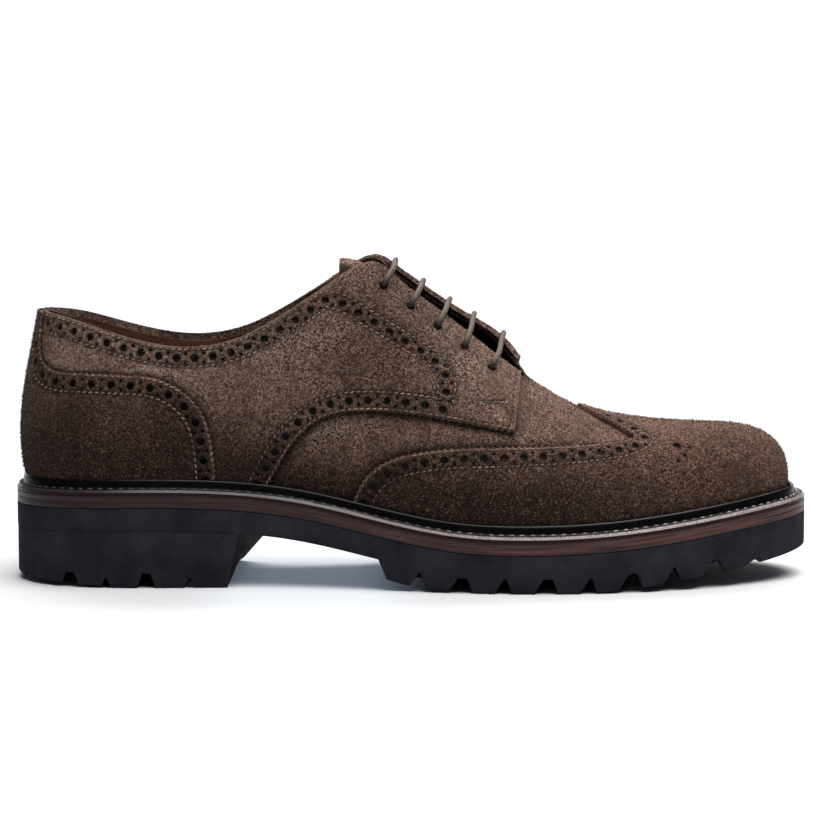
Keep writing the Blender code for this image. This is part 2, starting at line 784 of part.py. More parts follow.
def even_columns(count):
    """Shares from heel to toe at an even spacing, with closer ones at the round ends."""
    return sorted({*np.linspace(0, 1, count + 1).round(6).tolist(), *ROUND_END_SHARES})


MIDSOLE_TOP = WELT_THICK + GAP
OUTSOLE_TOP = MIDSOLE_TOP + MIDSOLE_THICK + GAP
HEEL_TOP = OUTSOLE_TOP + WAIST_THICK + GAP


def groove(x, centre, half_mouth, half_floor):
    """Depth share of a groove with slanted walls: 1 on its floor, 0 outside its mouth."""
    return np.clip((half_mouth - abs(x - centre)) / (half_mouth - half_floor), 0, 1)


def tread_bottom(share, part, plan):
    """Underside of the outsole: shank, step down to the tread, grooves and toe spring."""
    x = length_at(share)
    rear = TREAD_REAR_RISE * (np.clip(TREAD_FLAT[0] - x, 0, None) / TREAD_REAR_LENGTH) ** 2
    toe = TREAD_TOE_RISE * (np.clip(x - TREAD_FLAT[1], 0, None) / TREAD_TOE_LENGTH) ** TREAD_TOE_POWER
    middle = (part > TREAD_ROWS[1] + STEP) & (part < TREAD_ROWS[4] - STEP)
    depth = GROOVE_DEPTH + (GROOVE_TOE_DEPTH - GROOVE_DEPTH) * ramp(x, *TREAD_FLAT[1:], SOLE_LENGTH / 2)
    cut = np.zeros_like(x)
    for index in range(GROOVE_COUNT):
        centre = GROOVE_START + GROOVE_PITCH * index
        side_cut = groove(x, centre, GROOVE_HALF_MOUTH, GROOVE_HALF_FLOOR)
        middle_cut = groove(x, centre + GROOVE_PITCH / 2, GROOVE_HALF_MOUTH, GROOVE_HALF_FLOOR)
        cut = np.maximum(cut, np.where(middle, middle_cut, side_cut))
    tread = rear + toe + depth * cut
    shank = welt_top(x) - OUTSOLE_TOP - WAIST_THICK
    step = np.clip((SHANK_STEP_FOOT - x) / (SHANK_STEP_FOOT - SHANK_STEP_TOP), 0, 1)
    return tread + (shank - tread) * step


def make_outsole():
    """Rubber outsole with shank, toe spring and cross grooves."""
    lengths = {SHANK_STEP_TOP, SHANK_STEP_FOOT, *SHANK_COLUMNS}
    for index in range(GROOVE_COUNT):
        for half in (-GROOVE_HALF_MOUTH, -GROOVE_HALF_FLOOR, GROOVE_HALF_FLOOR, GROOVE_HALF_MOUTH):
            lengths.add(GROOVE_START + GROOVE_PITCH * index + half)
            lengths.add(GROOVE_START + GROOVE_PITCH * (index + 0.5) + half)
    columns = sorted({*(float(share_at(x)) for x in lengths), *ROUND_END_SHARES})
    plate("outsole", columns, TREAD_ROWS, np.zeros_like, under_welt(OUTSOLE_TOP), tread_bottom, RUBBER)


def midsole_inset(way):
    """Inset of the midsole's edge."""
    return np.full_like(way, MIDSOLE_INSET)


def make_midsole():
    """Leather layer between welt and outsole."""
    plate("midsole", even_columns(PLATE_COLUMNS), (0, 1), midsole_inset,
          under_welt(MIDSOLE_TOP), under_welt(MIDSOLE_TOP + MIDSOLE_THICK), MIDSOLE_LEATHER)


def insole_inset(way):
    """Inset of the insole's edge, just inside the upper's wall."""
    return feather_inset(way) + UPPER_WALL + OVERLAY_GAP


def make_insole():
    """Board that the foot stands on, inside the upper."""
    plate("insole", even_columns(PLATE_COLUMNS), (0, 1), insole_inset,
          under_welt(-GAP - INSOLE_THICK), under_welt(-GAP), INSOLE_LEATHER)


def make_welt():
    """Welt all round the shoe with a bead against the upper, as one closed profile on the way round."""
    way = np.array(sorted({i / GRID_COLUMNS for i in range(2 * GRID_COLUMNS)}))
    foot = feather_inset(way)
    outside = np.zeros_like(foot)
    profile = [
        (outside, -WELT_THICK),
        (outside, 0.0),
        (foot - BEAD_OUTER_FOOT, 0.0),
        (foot - BEAD_OUTER_TOP, BEAD_HEIGHT),
        (foot - BEAD_INNER_TOP, BEAD_HEIGHT),
        (foot - BEAD_INNER_FOOT, 0.0),
        (foot + WELT_INSIDE, 0.0),
        (foot + WELT_INSIDE, -WELT_THICK),
    ]
    rings = []
    for inset, rise in profile:
        plan = sole_edge(way, inset)
        rings.append(np.concatenate([plan, (welt_top(plan[:, 0]) + rise)[:, None]], -1))
    count = len(way)
    faces = []
    for i in range(len(profile)):
        above = (i + 1) % len(profile)
        for j in range(count):
            beside = (j + 1) % count
            faces.append((i * count + j, i * count + beside, above * count + beside, above * count + j))
    add_piece("welt", np.concatenate(rings), faces, WELT_LEATHER)


def heel_inset(way):
    """Inset of the heel block's side."""
    return np.full_like(way, HEEL_INSET)


def make_heel():
    """Rubber heel block with a slanted breast and notches in its lower edge."""
    lengths = {*HEEL_COLUMNS, BREAST_FOOT}
    for notch in HEEL_NOTCHES:
        for half in (-notch.half_mouth, -notch.half_roof, notch.half_roof, notch.half_mouth):
            lengths.add(notch.x + half)
    columns = sorted({*(float(share_at(x)) for x in lengths), *ROUND_END_SHARES[:4]})
    share, part, plan, faces = plate_places(columns, HEEL_ROWS, heel_inset)
    x = length_at(share)
    side = (part < HEEL_ROWS[1] + STEP) | (part > HEEL_ROWS[4] - STEP)
    behind = np.clip((HEEL_FLAT_BACK - x) / (HEEL_FLAT_BACK + SOLE_LENGTH / 2), 0, 1)
    roll = HEEL_REAR_RISE * behind ** HEEL_ROLL_POWER
    roof = np.zeros_like(x)
    for notch in HEEL_NOTCHES:
        roof = np.maximum(roof, notch.height * groove(x, notch.x, notch.half_mouth, notch.half_roof))
    breast_top = BREAST_TOP_LATERAL + part * (BREAST_TOP_MEDIAL - BREAST_TOP_LATERAL)
    front = x > BREAST_FOOT - STEP
    top_share = np.where(front, share_at(breast_top), share)
    lateral = sole_edge(top_share, heel_inset(top_share))
    medial = sole_edge(2 - top_share, heel_inset(top_share))
    top_plan = lateral + part[:, None] * (medial - lateral)
    outer = np.concatenate([top_plan, (welt_top(top_plan[:, 0]) - HEEL_TOP)[:, None]], -1)
    inner = np.concatenate([plan, np.maximum(np.where(side, roof, 0.0), roll)[:, None]], -1)
    shell("heel", faces, outer, inner, RUBBER)


ROOT_NAME = "brogue_derby"


def main():
    """Clears the scene and makes every piece of the shoe."""
    for old in list(bpy.data.objects):
        bpy.data.objects.remove(old)
    root = bpy.data.objects.new(ROOT_NAME, None)
    bpy.context.scene.collection.objects.link(root)
    eyelets = eyelet_places()
    lateral_holes = [eyelet_hole(place) for place in eyelets]
    medial_holes = [across(hole) for hole in lateral_holes]
    make_outsole()
    make_heel()
    make_midsole()
    make_welt()
    make_insole()
    make_upper(lateral_holes, medial_holes)
    make_wing_cap()
    make_quarters(lateral_holes, medial_holes)
    make_heel_counter()
    make_tongue()
    make_lace(eyelets)


main()
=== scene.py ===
"""Looks of a right brogue derby in brown suede on a lugged rubber sole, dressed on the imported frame.

Sizes are millimetres until a mesh is made, and MM turns them into metres. X runs from heel to toe, the
outer (lateral) side of the foot is -Y and the floor is z = 0. A place on the upper is (way, height): way runs
from 0 at the heel along the lateral side to 1 at the toe and on along the medial side to 2, and height runs
from 0 at the sole's edge to 1 at the collar, the lacing edge or the ridge of the toe.
"""

import json
import logging
import math
from dataclasses import dataclass, field
from enum import Enum
from functools import partial
from typing import Callable, NamedTuple, Sequence

import bmesh
import bpy
import numpy as np
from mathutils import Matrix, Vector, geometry

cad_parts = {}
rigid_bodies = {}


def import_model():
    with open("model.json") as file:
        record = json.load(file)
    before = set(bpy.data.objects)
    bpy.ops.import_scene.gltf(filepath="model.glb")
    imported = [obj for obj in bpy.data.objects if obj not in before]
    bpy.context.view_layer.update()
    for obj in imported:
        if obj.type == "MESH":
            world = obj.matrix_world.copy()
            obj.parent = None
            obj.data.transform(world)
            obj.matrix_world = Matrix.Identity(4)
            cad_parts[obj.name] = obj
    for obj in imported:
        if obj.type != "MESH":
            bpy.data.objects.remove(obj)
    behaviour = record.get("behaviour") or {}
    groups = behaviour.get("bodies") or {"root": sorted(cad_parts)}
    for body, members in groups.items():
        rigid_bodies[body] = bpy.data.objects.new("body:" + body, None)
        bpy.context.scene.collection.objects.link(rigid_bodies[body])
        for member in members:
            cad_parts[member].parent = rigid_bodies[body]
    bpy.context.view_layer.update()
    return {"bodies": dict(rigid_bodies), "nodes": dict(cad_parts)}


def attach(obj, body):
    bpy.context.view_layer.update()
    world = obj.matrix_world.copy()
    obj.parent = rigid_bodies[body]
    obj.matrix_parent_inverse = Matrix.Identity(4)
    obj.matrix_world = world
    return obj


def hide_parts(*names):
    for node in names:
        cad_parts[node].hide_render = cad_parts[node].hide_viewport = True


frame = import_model()

Array = np.ndarray
Inputs = dict[str | int, object]
AddNode = Callable[..., bpy.types.NodeSocket]
LOG = logging.getLogger("brogue_derby")

MM = 0.001
STEP = 1e-3
FAR = 1e3
BLOCK = 3_000_000


class Slot(Enum):
    """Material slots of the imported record."""

    SUEDE = "suede"
    RUBBER = "rubber"
    WELT = "welt_leather"
    MIDSOLE = "midsole_leather"
    LINING = "lining_leather"
    CORD = "cord"


class Side(Enum):
    """Sides of the shoe, by the sign of y."""

    LATERAL = -1
    MEDIAL = 1


# Array helpers

def unit(vectors: Array) -> Array:
    """Vectors scaled to length one, upright where they have no length."""
    length = np.linalg.norm(vectors, axis=-1, keepdims=True)
    upright = np.zeros_like(vectors)
    upright[..., -1] = 1.0
    return np.where(length > 1e-9, vectors / np.maximum(length, 1e-9), upright)


def ramp(value: Array, start: float, end: float) -> Array:
    """Smooth step from 0 at start to 1 at end."""
    part = np.clip((value - start) / (end - start), 0, 1)
    return part * part * (3 - 2 * part)


def bump(distance: Array, width: float) -> Array:
    """Bell shape of height 1 at distance 0."""
    return np.exp(-(distance / width) ** 2)


def running_length(points: Array) -> Array:
    """Length along a line of points, from 0 at its first."""
    return np.concatenate([[0.0], np.cumsum(np.linalg.norm(np.diff(points, axis=0), axis=1))])


def nearest(points: Array, others: Array) -> Array:
    """Distance from each point to the nearest of the others, worked out in blocks.

    Args:
        points: Points to measure from.
        others: Points to measure to.

    Returns:
        One distance for each point.
    """
    blocks = np.array_split(points, 1 + len(points) * len(others) // BLOCK)
    squares = [((block[:, None] - others[None]) ** 2).sum(-1).min(1) for block in blocks]
    return np.sqrt(np.concatenate(squares))


def inside(points: Array, loop: Array) -> Array:
    """Which points of a plane lie inside a closed loop, by counting the edges crossed to their right.

    Args:
        points: Plane points.
        loop: Corners of the loop in order.

    Returns:
        One truth value for each point.
    """
    start, end = loop, np.roll(loop, -1, axis=0)
    run = np.where(start[:, 1] == end[:, 1], 1.0, end[:, 1] - start[:, 1])
    slope = (end[:, 0] - start[:, 0]) / run
    found = []
    for block in np.array_split(points, 1 + len(points) * len(loop) // BLOCK):
        level = block[:, 1:2]
        crosses = (start[:, 1] > level) != (end[:, 1] > level)
        to_right = block[:, :1] < start[:, 0] + (level - start[:, 1]) * slope
        found.append((crosses & to_right).sum(1) % 2 == 1)
    return np.concatenate(found)


def rim_edges(faces: Array) -> Array:
    """Edges that only one face uses, in that face's direction."""
    edges = np.stack([faces, np.roll(faces, -1, axis=1)], -1).reshape(-1, 2)
    size = faces.max() + 1
    return edges[~np.isin(edges[:, 0] * size + edges[:, 1], edges[:, 1] * size + edges[:, 0])]


def grid_faces(columns: int, rows: int, wrap_columns: bool = False, wrap_rows: bool = False) -> Array:
    """Quads of a grid whose points are numbered row by row inside each column.

    Args:
        columns: Number of columns.
        rows: Number of points in a column.
        wrap_columns: Whether the last column joins the first.
        wrap_rows: Whether the last row joins the first.

    Returns:
        Corner numbers, four to a face.
    """
    column = np.arange(columns if wrap_columns else columns - 1)[:, None]
    row = np.arange(rows if wrap_rows else rows - 1)[None]
    beside, above = (column + 1) % columns, (row + 1) % rows
    corners = [column * rows + row, beside * rows + row, beside * rows + above, column * rows + above]
    return np.stack(np.broadcast_arrays(*corners), -1).reshape(-1, 4)


class Spline:
    """Natural cubic curve through rows of values at rising stations."""

    def __init__(self, stations: Array, values: Array) -> None:
        """Solves for the bend at each station.

        Args:
            stations: Rising numbers.
            values: One row of values for each station.
        """
        self.at = np.asarray(stations, float)
        self.value = np.asarray(values, float).reshape(len(self.at), -1)
        gaps = np.diff(self.at)
        slopes = np.diff(self.value, axis=0) / gaps[:, None]
        inner = np.arange(1, len(self.at) - 1)
        system = np.eye(len(self.at))
        system[inner, inner - 1] = gaps[:-1]
        system[inner, inner] = 2 * (gaps[:-1] + gaps[1:])
        system[inner, inner + 1] = gaps[1:]
        target = np.zeros_like(self.value)
        target[inner] = 6 * np.diff(slopes, axis=0)
        self.bend = np.linalg.solve(system, target)

    def __call__(self, place: Array) -> Array:
        """Values at places between the stations, in a last axis of their own."""
        place = np.clip(np.asarray(place, float), self.at[0], self.at[-1])
        i = np.clip(np.searchsorted(self.at, place) - 1, 0, len(self.at) - 2)
        gap = (self.at[i + 1] - self.at[i])[..., None]
        before = (self.at[i + 1] - place)[..., None]
        after = (place - self.at[i])[..., None]
        cubic = (self.bend[i] * before ** 3 + self.bend[i + 1] * after ** 3) / (6 * gap)
        low = (self.value[i] / gap - self.bend[i] * gap / 6) * before
        high = (self.value[i + 1] / gap - self.bend[i + 1] * gap / 6) * after
        return cubic + low + high


# The last

def table_of(kind: type, *rows: tuple) -> tuple:
    """Rows of one kind, each from its values."""
    return tuple(kind(*row) for row in rows)


def medial_side(places: Array) -> Array:
    """The same places on the medial side."""
    return np.stack([2 - places[..., 0], places[..., 1]], -1)


class OutlineRow(NamedTuple):
    """Half-widths of the sole at a length."""

    x: float
    lateral: float
    medial: float


class OpeningRow(NamedTuple):
    """Collar or lacing edge above a station of the sole."""

    station: float
    x: float
    lateral_y: float
    lateral_z: float
    medial_y: float
    medial_z: float


class RidgeRow(NamedTuple):
    """Ridge of the vamp and toe above a station of the sole."""

    station: float
    x: float
    y: float
    z: float


class SectionRow(NamedTuple):
    """Shape of a section: lean and pull at its foot, dip and pull at its top."""

    station: float
    lean: float
    low_pull: float
    dip: float
    high_pull: float


class Spot(NamedTuple):
    """A spot of the lateral side by its length and rise."""

    x: float
    z: float


class Crease(NamedTuple):
    """Soft trough (-) or ridge (+) of the leather between two points."""

    start: tuple[float, float, float]
    end: tuple[float, float, float]
    half_width: float
    rise: float


@dataclass
class Last:
    """The form that every piece follows: the sole's outline and the outer face of the upper."""

    length: float = 308.0
    gap: float = 0.3
    feather_heel: float = 6.9
    feather_fore: float = 8.5
    feather_change: tuple[float, float] = (0.35, 0.60)
    throat_share: float = 19 / 32
    outward_blend: float = 4.0
    level_foot: float = 0.12
    outline_rows: tuple[OutlineRow, ...] = table_of(
        OutlineRow, (-154, 0, 0), (-146, 22.5, 22.5), (-128, 34.5, 34.5), (-100, 37.5, 36.5),
        (-65, 36.5, 33), (-35, 39, 31.5), (0, 46, 36), (35, 51.8, 46), (70, 50.7, 52.2), (105, 41.5, 48),
        (130, 28.5, 39), (146, 15.2, 27.4), (154, -6, 6),
    )
    welt_rows: tuple[Spot, ...] = table_of(
        Spot, (-154, 37.0), (-118, 37.7), (-70, 37.0), (-42, 33.9), (-10, 27.2), (14, 23.0), (44, 21.8),
        (74, 23.0), (106, 26.4), (132, 29.8), (154, 32.6),
    )
    opening_rows: tuple[OpeningRow, ...] = table_of(
        OpeningRow, (-154, -142.8, 0, 104.4, 0, 104.4), (-146, -137.8, 12.5, 103.6, 12.5, 103.6),
        (-130, -126.5, 21.0, 101.0, 21.5, 101.2), (-108, -107.0, 26.0, 95.0, 27, 95.6),
        (-84, -84, 28.0, 91.6, 29, 92.6), (-62, -63, 27.0, 96.0, 28, 97.2),
        (-44, -45.5, 24.0, 105.6, 25, 106.6), (-30, -31, 19.0, 115.0, 20, 115.6),
        (-20, -20.5, 14, 121.2, 14, 122.4), (-12, -13, 9, 121.6, 8.5, 124.0),
        (-4, -5, 7.2, 116.0, 6.8, 119.8), (20, 19.5, 6.8, 97.2, 6.4, 103.0), (38, 39, 6.5, 81.6, 6, 87.8),
        (44.7, 45.3, 0, 77.2, 0, 77.2),
    )
    ridge_rows: tuple[RidgeRow, ...] = table_of(
        RidgeRow, (44.7, 45.3, 0, 77.2), (60, 60, 0.4, 68.0), (75, 75, 1.5, 62.1), (90, 88, 2.5, 59.6),
        (110, 101, 3.5, 58.2), (130, 111, 4.6, 57.7), (145, 116.5, 5.3, 57.5), (154, 118, 5.5, 57.5),
    )
    section_rows: tuple[SectionRow, ...] = table_of(
        SectionRow, (-154, 17, 0.36, 82, 0.33), (-115, 10, 0.32, 80, 0.35), (-82, 6, 0.30, 78, 0.33),
        (-40, 4, 0.32, 62, 0.33), (-10, 4, 0.36, 42, 0.36), (15, 4, 0.38, 34, 0.38),
        (38, 4, 0.40, 22, 0.42), (50, 4, 0.41, 8, 0.44), (75, 5, 0.44, 0, 0.47), (110, 6, 0.47, 0, 0.50),
        (154, 7, 0.50, 0, 0.55),
    )
    # Bends of the vamp where the toes flex, a hollow in front of each facing and slack under the ankle
    creases: tuple[Crease, ...] = table_of(
        Crease, ((63, -28, 55), (70, 26, 57), 5.0, -0.55), ((75, -30, 50), (81, 28, 53), 6.0, 0.35),
        ((47, -25, 66), (46, -40, 44), 5.0, -0.6), ((47, 25, 66), (46, 38, 46), 5.0, -0.5),
        ((-62, -33, 74), (-8, -29, 84), 10.0, -1.1), ((-60, 34, 74), (-30, 34, 86), 9.0, -0.7),
        ((-88, -33, 70), (-60, -30, 82), 8.0, 0.4),
    )

    def __post_init__(self) -> None:
        """Makes the smooth curves of the tables."""
        self.outline_curve = self.curve(self.outline_rows)
        self.opening_curve = self.curve(self.opening_rows)
        self.ridge_curve = self.curve(self.ridge_rows)
        self.section_curve = self.curve(self.section_rows)
        self.welt_curve = Spline(*np.array(self.welt_rows).T)

    def curve(self, rows: Sequence[NamedTuple]) -> Spline:
        """Curve of a table's columns, as a function of the share at its first column."""
        table = np.array(rows, float)
        return Spline(self.share_at(table[:, 0]), table[:, 1:])

    def share_at(self, x: Array) -> Array:
        """Share of the way from heel (0) to toe (1) of a length, close together at both ends."""
        return np.arccos(np.clip(-2 * np.asarray(x, float) / self.length, -1, 1)) / math.pi

    def length_at(self, share: Array) -> Array:
        """Length x at a share of the way from heel to toe."""
        return -self.length / 2 * np.cos(np.pi * np.asarray(share, float))

    def welt_top(self, x: Array) -> Array:
        """Height of the welt's top at a length."""
        return self.welt_curve(x)[..., 0]

    def fold(self, way: Array) -> tuple[Array, Array]:
        """Share from heel to toe of a place on the way round, and whether it is lateral."""
        way = np.mod(way, 2.0)
        lateral = way <= 1.0
        return np.where(lateral, way, 2.0 - way), lateral

    def outline(self, way: Array) -> Array:
        """Plan point on the sole's outline."""
        share, lateral = self.fold(way)
        width = self.outline_curve(share)
        return np.stack([self.length_at(share), np.where(lateral, -width[..., 0], width[..., 1])], -1)

    def inward(self, way: Array) -> Array:
        """Plan direction from the sole's outline straight inwards."""
        tangent = unit(self.outline(way + STEP) - self.outline(way - STEP))
        return np.stack([-tangent[..., 1], tangent[..., 0]], -1)

    def sole_edge(self, way: Array, inset: Array) -> Array:
        """Plan point on the sole's outline moved inwards by an inset."""
        return self.outline(way) + np.asarray(inset)[..., None] * self.inward(way)

    def feather_inset(self, way: Array) -> Array:
        """Inset of the upper's foot from the sole's outline."""
        share, _ = self.fold(way)
        return self.feather_heel + (self.feather_fore - self.feather_heel) * ramp(share, *self.feather_change)

    def feather(self, way: Array) -> Array:
        """Foot of the upper, just above the welt."""
        plan = self.sole_edge(way, self.feather_inset(way))
        return np.concatenate([plan, (self.welt_top(plan[..., 0]) + self.gap)[..., None]], -1)

    def top_edge(self, way: Array) -> Array:
        """Collar, lacing edge or ridge above a place on the way round."""
        share, lateral = self.fold(way)
        row = np.moveaxis(self.opening_curve(share), -1, 0)
        side, rise = np.where(lateral, -row[1], row[3]), np.where(lateral, row[2], row[4])
        opening = np.stack([row[0], side, rise], -1)
        return np.where((share < self.throat_share)[..., None], opening, self.ridge_curve(share))

    def skin(self, places: Array) -> Array:
        """Outer face of the upper: a cubic arc in each section, from its foot to its top edge.

        Args:
            places: Ways and heights in the last axis.

        Returns:
            Points in space.
        """
        way, height = places[..., 0], places[..., 1:]
        share, _ = self.fold(way)
        foot, top = self.feather(way), self.top_edge(way)
        reach = np.linalg.norm(top - foot, axis=-1)[..., None]
        level = np.zeros_like(reach)
        outward = np.concatenate([-self.inward(way), level], -1)
        up = np.concatenate([level, level, level + 1], -1)
        lean, low_pull, dip, high_pull = np.moveaxis(self.section_curve(share)[..., None], -2, 0)
        lean, dip = np.radians(lean), np.radians(dip)
        away = unit((foot - top) * (1.0, 1.0, 0.0) + self.outward_blend * outward)
        low = foot + reach * low_pull * (np.sin(lean) * outward + np.cos(lean) * up)
        high = top + reach * high_pull * (np.cos(dip) * away - np.sin(dip) * up)
        rest = 1 - height
        near_foot, near_top = rest ** 3 * foot + 3 * rest ** 2 * height * low, 3 * rest * height ** 2 * high
        return near_foot + near_top + height ** 3 * top

    def over_ridge(self, places: Array) -> Array:
        """Places past the ridge carried on down the other side, and places past an open edge brought back."""
        share, _ = self.fold(places[..., 0])
        closed = ((share >= self.throat_share) & (places[..., 1] > 1))[..., None]
        held = np.stack([places[..., 0], np.clip(places[..., 1], 0, 1)], -1)
        return np.where(closed, 2 - places, held)

    def steps(self, places: Array) -> tuple[Array, Array]:
        """How far the outer face moves for a unit of way and of height."""
        along = (self.skin(places + (STEP, 0)) - self.skin(places - (STEP, 0))) / (2 * STEP)
        rise = (self.skin(places + (0, STEP)) - self.skin(places - (0, STEP))) / (2 * STEP)
        return along, rise

    def normal(self, places: Array) -> Array:
        """Outward direction of the upper's outer face, level at its foot."""
        along = self.skin(places + (STEP, 0)) - self.skin(places - (STEP, 0))
        above, below = self.over_ridge(places + (0, STEP)), self.over_ridge(places - (0, STEP))
        outward = unit(np.cross(along, self.skin(above) - self.skin(below)))
        outward[..., 2] *= ramp(places[..., 1], 0.0, self.level_foot)
        return unit(outward)

    def wear(self, points: Array) -> Array:
        """How far the creases lift or sink points, by their distance from each crease's line."""
        lift = np.zeros(points.shape[:-1])
        for crease in self.creases:
            start = np.array(crease.start)
            run = np.array(crease.end) - start
            part = np.clip((points - start) @ run / (run @ run), 0, 1)
            away = np.linalg.norm(points - start - part[..., None] * run, axis=-1)
            lift += crease.rise * bump(away, crease.half_width)
        return lift

    def raised(self, places: Array, raise_by: Array) -> Array:
        """Points at a distance outside (+) or inside (-) the creased outer face."""
        points = self.skin(places)
        lift = np.asarray(raise_by) + self.wear(points)
        return points + lift[..., None] * self.normal(places)

    def locate(self, spots: Array, axes: tuple[int, int] = (0, 2)) -> Array:
        """Places on the lateral skin that show at given spots, by Newton's steps from the nearest of a grid.

        Args:
            spots: Two coordinates for each spot.
            axes: Which coordinates those are: length and rise, or length and side.

        Returns:
            One place for each spot.
        """
        spots = np.asarray(spots, float)
        axes = list(axes)
        grid = np.stack(np.meshgrid(np.linspace(0, 1, 121), np.linspace(0, 1, 61)), -1).reshape(-1, 2)
        seen = self.skin(grid)[:, axes]
        places = grid[((spots[:, None] - seen[None]) ** 2).sum(-1).argmin(1)]
        for _ in range(12):
            here = self.skin(places)[:, axes]
            forward = (self.skin(places + (STEP, 0))[:, axes] - here) / STEP
            upward = (self.skin(places + (0, STEP))[:, axes] - here) / STEP
            change = np.linalg.solve(np.stack([forward, upward], -1), (spots - here)[..., None])[..., 0]
            places = np.clip(places + 0.8 * np.clip(change, -0.03, 0.03), 0, 1)
        return places

    def drawn(self, spots: Sequence[Spot]) -> Array:
        """Places on a smooth line through lateral spots, a millimetre apart."""
        table = np.array(spots, float)
        run = running_length(table)
        return self.locate(Spline(run, table)(np.linspace(0, run[-1], round(run[-1]))))

    def rings(self, centres: Array, radius: float, sides: int) -> Array:
        """Places on circles about centres: one ring of places for each."""
        along, rise = self.steps(centres)
        first = unit(along)
        second = unit(np.cross(unit(np.cross(along, rise)), first))
        parts = [[(step * axis).sum(-1) for step in (along, rise)] for axis in (first, second)]
        measure = np.moveaxis(np.array(parts), -1, 0)
        turn = np.arange(sides) * 2 * math.pi / sides
        circle = radius * np.stack([np.cos(turn), np.sin(turn)])
        return centres[:, None] + np.moveaxis(np.linalg.solve(measure, circle[None]), 1, 2)


class DrawnLine:
    """A line on the last, evenly sampled, whose left side faces into the piece that it bounds."""

    def __init__(self, last: Last, places: Array, spacing: float = 0.4) -> None:
        """Samples a line through places.

        Args:
            last: The form that the line is on.
            places: Places in order.
            spacing: Distance between samples.
        """
        run = running_length(last.skin(places))
        at = np.linspace(0, run[-1], 2 + int(run[-1] / spacing))
        self.last = last
        self.places = np.stack([np.interp(at, run, column) for column in places.T], -1)
        self.points = last.skin(self.places)
        self.run = running_length(self.points)

    @property
    def length(self) -> float:
        """Length of the line."""
        return float(self.run[-1])

    def spread(self, values: Array, run: Array) -> Array:
        """Values of the samples at lengths along the line."""
        return np.stack([np.interp(run, self.run, column) for column in values.T], -1)

    def at(self, run: Array) -> Array:
        """Places at lengths along the line."""
        return self.spread(self.places, run)

    def heading(self, run: Array) -> Array:
        """Direction of the line at lengths along it."""
        return unit(self.spread(np.gradient(self.points, axis=0), run))

    def sideways(self, run: Array) -> Array:
        """Change of place for one millimetre to the left, at lengths along the line."""
        along, rise = self.last.steps(self.at(run))
        left = np.cross(unit(np.cross(along, rise)), self.heading(run))
        first, mixed, second = (along * along).sum(-1), (along * rise).sum(-1), (rise * rise).sum(-1)
        by_way, by_height = (left * along).sum(-1), (left * rise).sum(-1)
        moved = np.stack([second * by_way - mixed * by_height, first * by_height - mixed * by_way], -1)
        return moved / (first * second - mixed ** 2)[:, None]

    def every(self, spacing: float) -> Array:
        """Places at about a spacing from end to end."""
        return self.at(np.linspace(0, self.length, 1 + max(1, round(self.length / spacing))))

    def inset(self, distance: float) -> "DrawnLine":
        """Line at a distance to the left (-: right), cut back where it nears this one or leaves the side."""
        moved = self.places + distance * self.sideways(self.run)
        clear = nearest(self.last.skin(moved), self.points) > abs(distance) - 0.2
        return DrawnLine(self.last, moved[clear & (moved[:, 1] > 0) & (moved[:, 1] < 1)])

    def part(self, start: float, end: float) -> "DrawnLine":
        """The stretch between two lengths."""
        return DrawnLine(self.last, self.at(np.linspace(start, end, 2 + int((end - start) / 0.4))))

    def before(self, x: float) -> "DrawnLine":
        """The stretch that lies behind a length of the shoe."""
        return DrawnLine(self.last, self.places[self.points[:, 0] < x])

    def softened(self, width: float) -> "DrawnLine":
        """The same line with its corners rounded by a running mean."""
        reach = max(1, round(width / self.run[1]))
        padded = np.pad(self.places, ((reach, reach), (0, 0)), mode="reflect", reflect_type="odd")
        total = np.cumsum(np.concatenate([np.zeros((1, 2)), padded]), axis=0)
        window = 2 * reach + 1
        return DrawnLine(self.last, (total[window:] - total[:-window]) / window)

    def mirrored(self) -> "DrawnLine":
        """The same line on the other side of the shoe, turned so that its left side still faces in."""
        return DrawnLine(self.last, medial_side(self.places[::-1]))

    def gimped(self, pitch: float, depth: float) -> Array:
        """Places of a saw-toothed cut: tips on the line and notches to its left."""
        run = np.linspace(0, self.length, 1 + 2 * max(1, round(self.length / pitch)))
        notch = depth * (np.arange(len(run)) % 2)
        return self.at(run) + notch[:, None] * self.sideways(run)


# Finishes

def linear(colour: str) -> tuple[float, float, float, float]:
    """Linear colour of six sRGB hex digits."""
    parts = [int(colour[i:i + 2], 16) / 255 for i in (0, 2, 4)]
    return (*(((c + 0.055) / 1.055) ** 2.4 if c > 0.04045 else c / 12.92 for c in parts), 1.0)


def per_metre(size: float) -> float:
    """Texture scale whose features measure a size in millimetres on Object coordinates."""
    return 1 / (size * MM)


def set_inputs(tree: bpy.types.NodeTree, node: bpy.types.Node, inputs: Inputs) -> None:
    """Sets a node's inputs, each to a value or to another node's output."""
    for name, value in inputs.items():
        if isinstance(value, bpy.types.NodeSocket):
            tree.links.new(value, node.inputs[name])
        else:
            node.inputs[name].default_value = value


def add_node(
    tree: bpy.types.NodeTree,
    kind: str,
    inputs: Inputs,
    output: str | int = 0,
    **settings: object,
) -> bpy.types.NodeSocket:
    """Adds a node with its settings and links.

    Args:
        tree: The material's node tree.
        kind: Node type, without the prefix that all shader nodes have.
        inputs: Values or outputs of other nodes for its inputs, by name or number.
        output: Name or number of the output that is wanted.
        settings: Properties of the node.

    Returns:
        That output of the new node.
    """
    node = tree.nodes.new("ShaderNode" + kind)
    for name, value in settings.items():
        setattr(node, name, value)
    set_inputs(tree, node, inputs)
    return node.outputs[output]


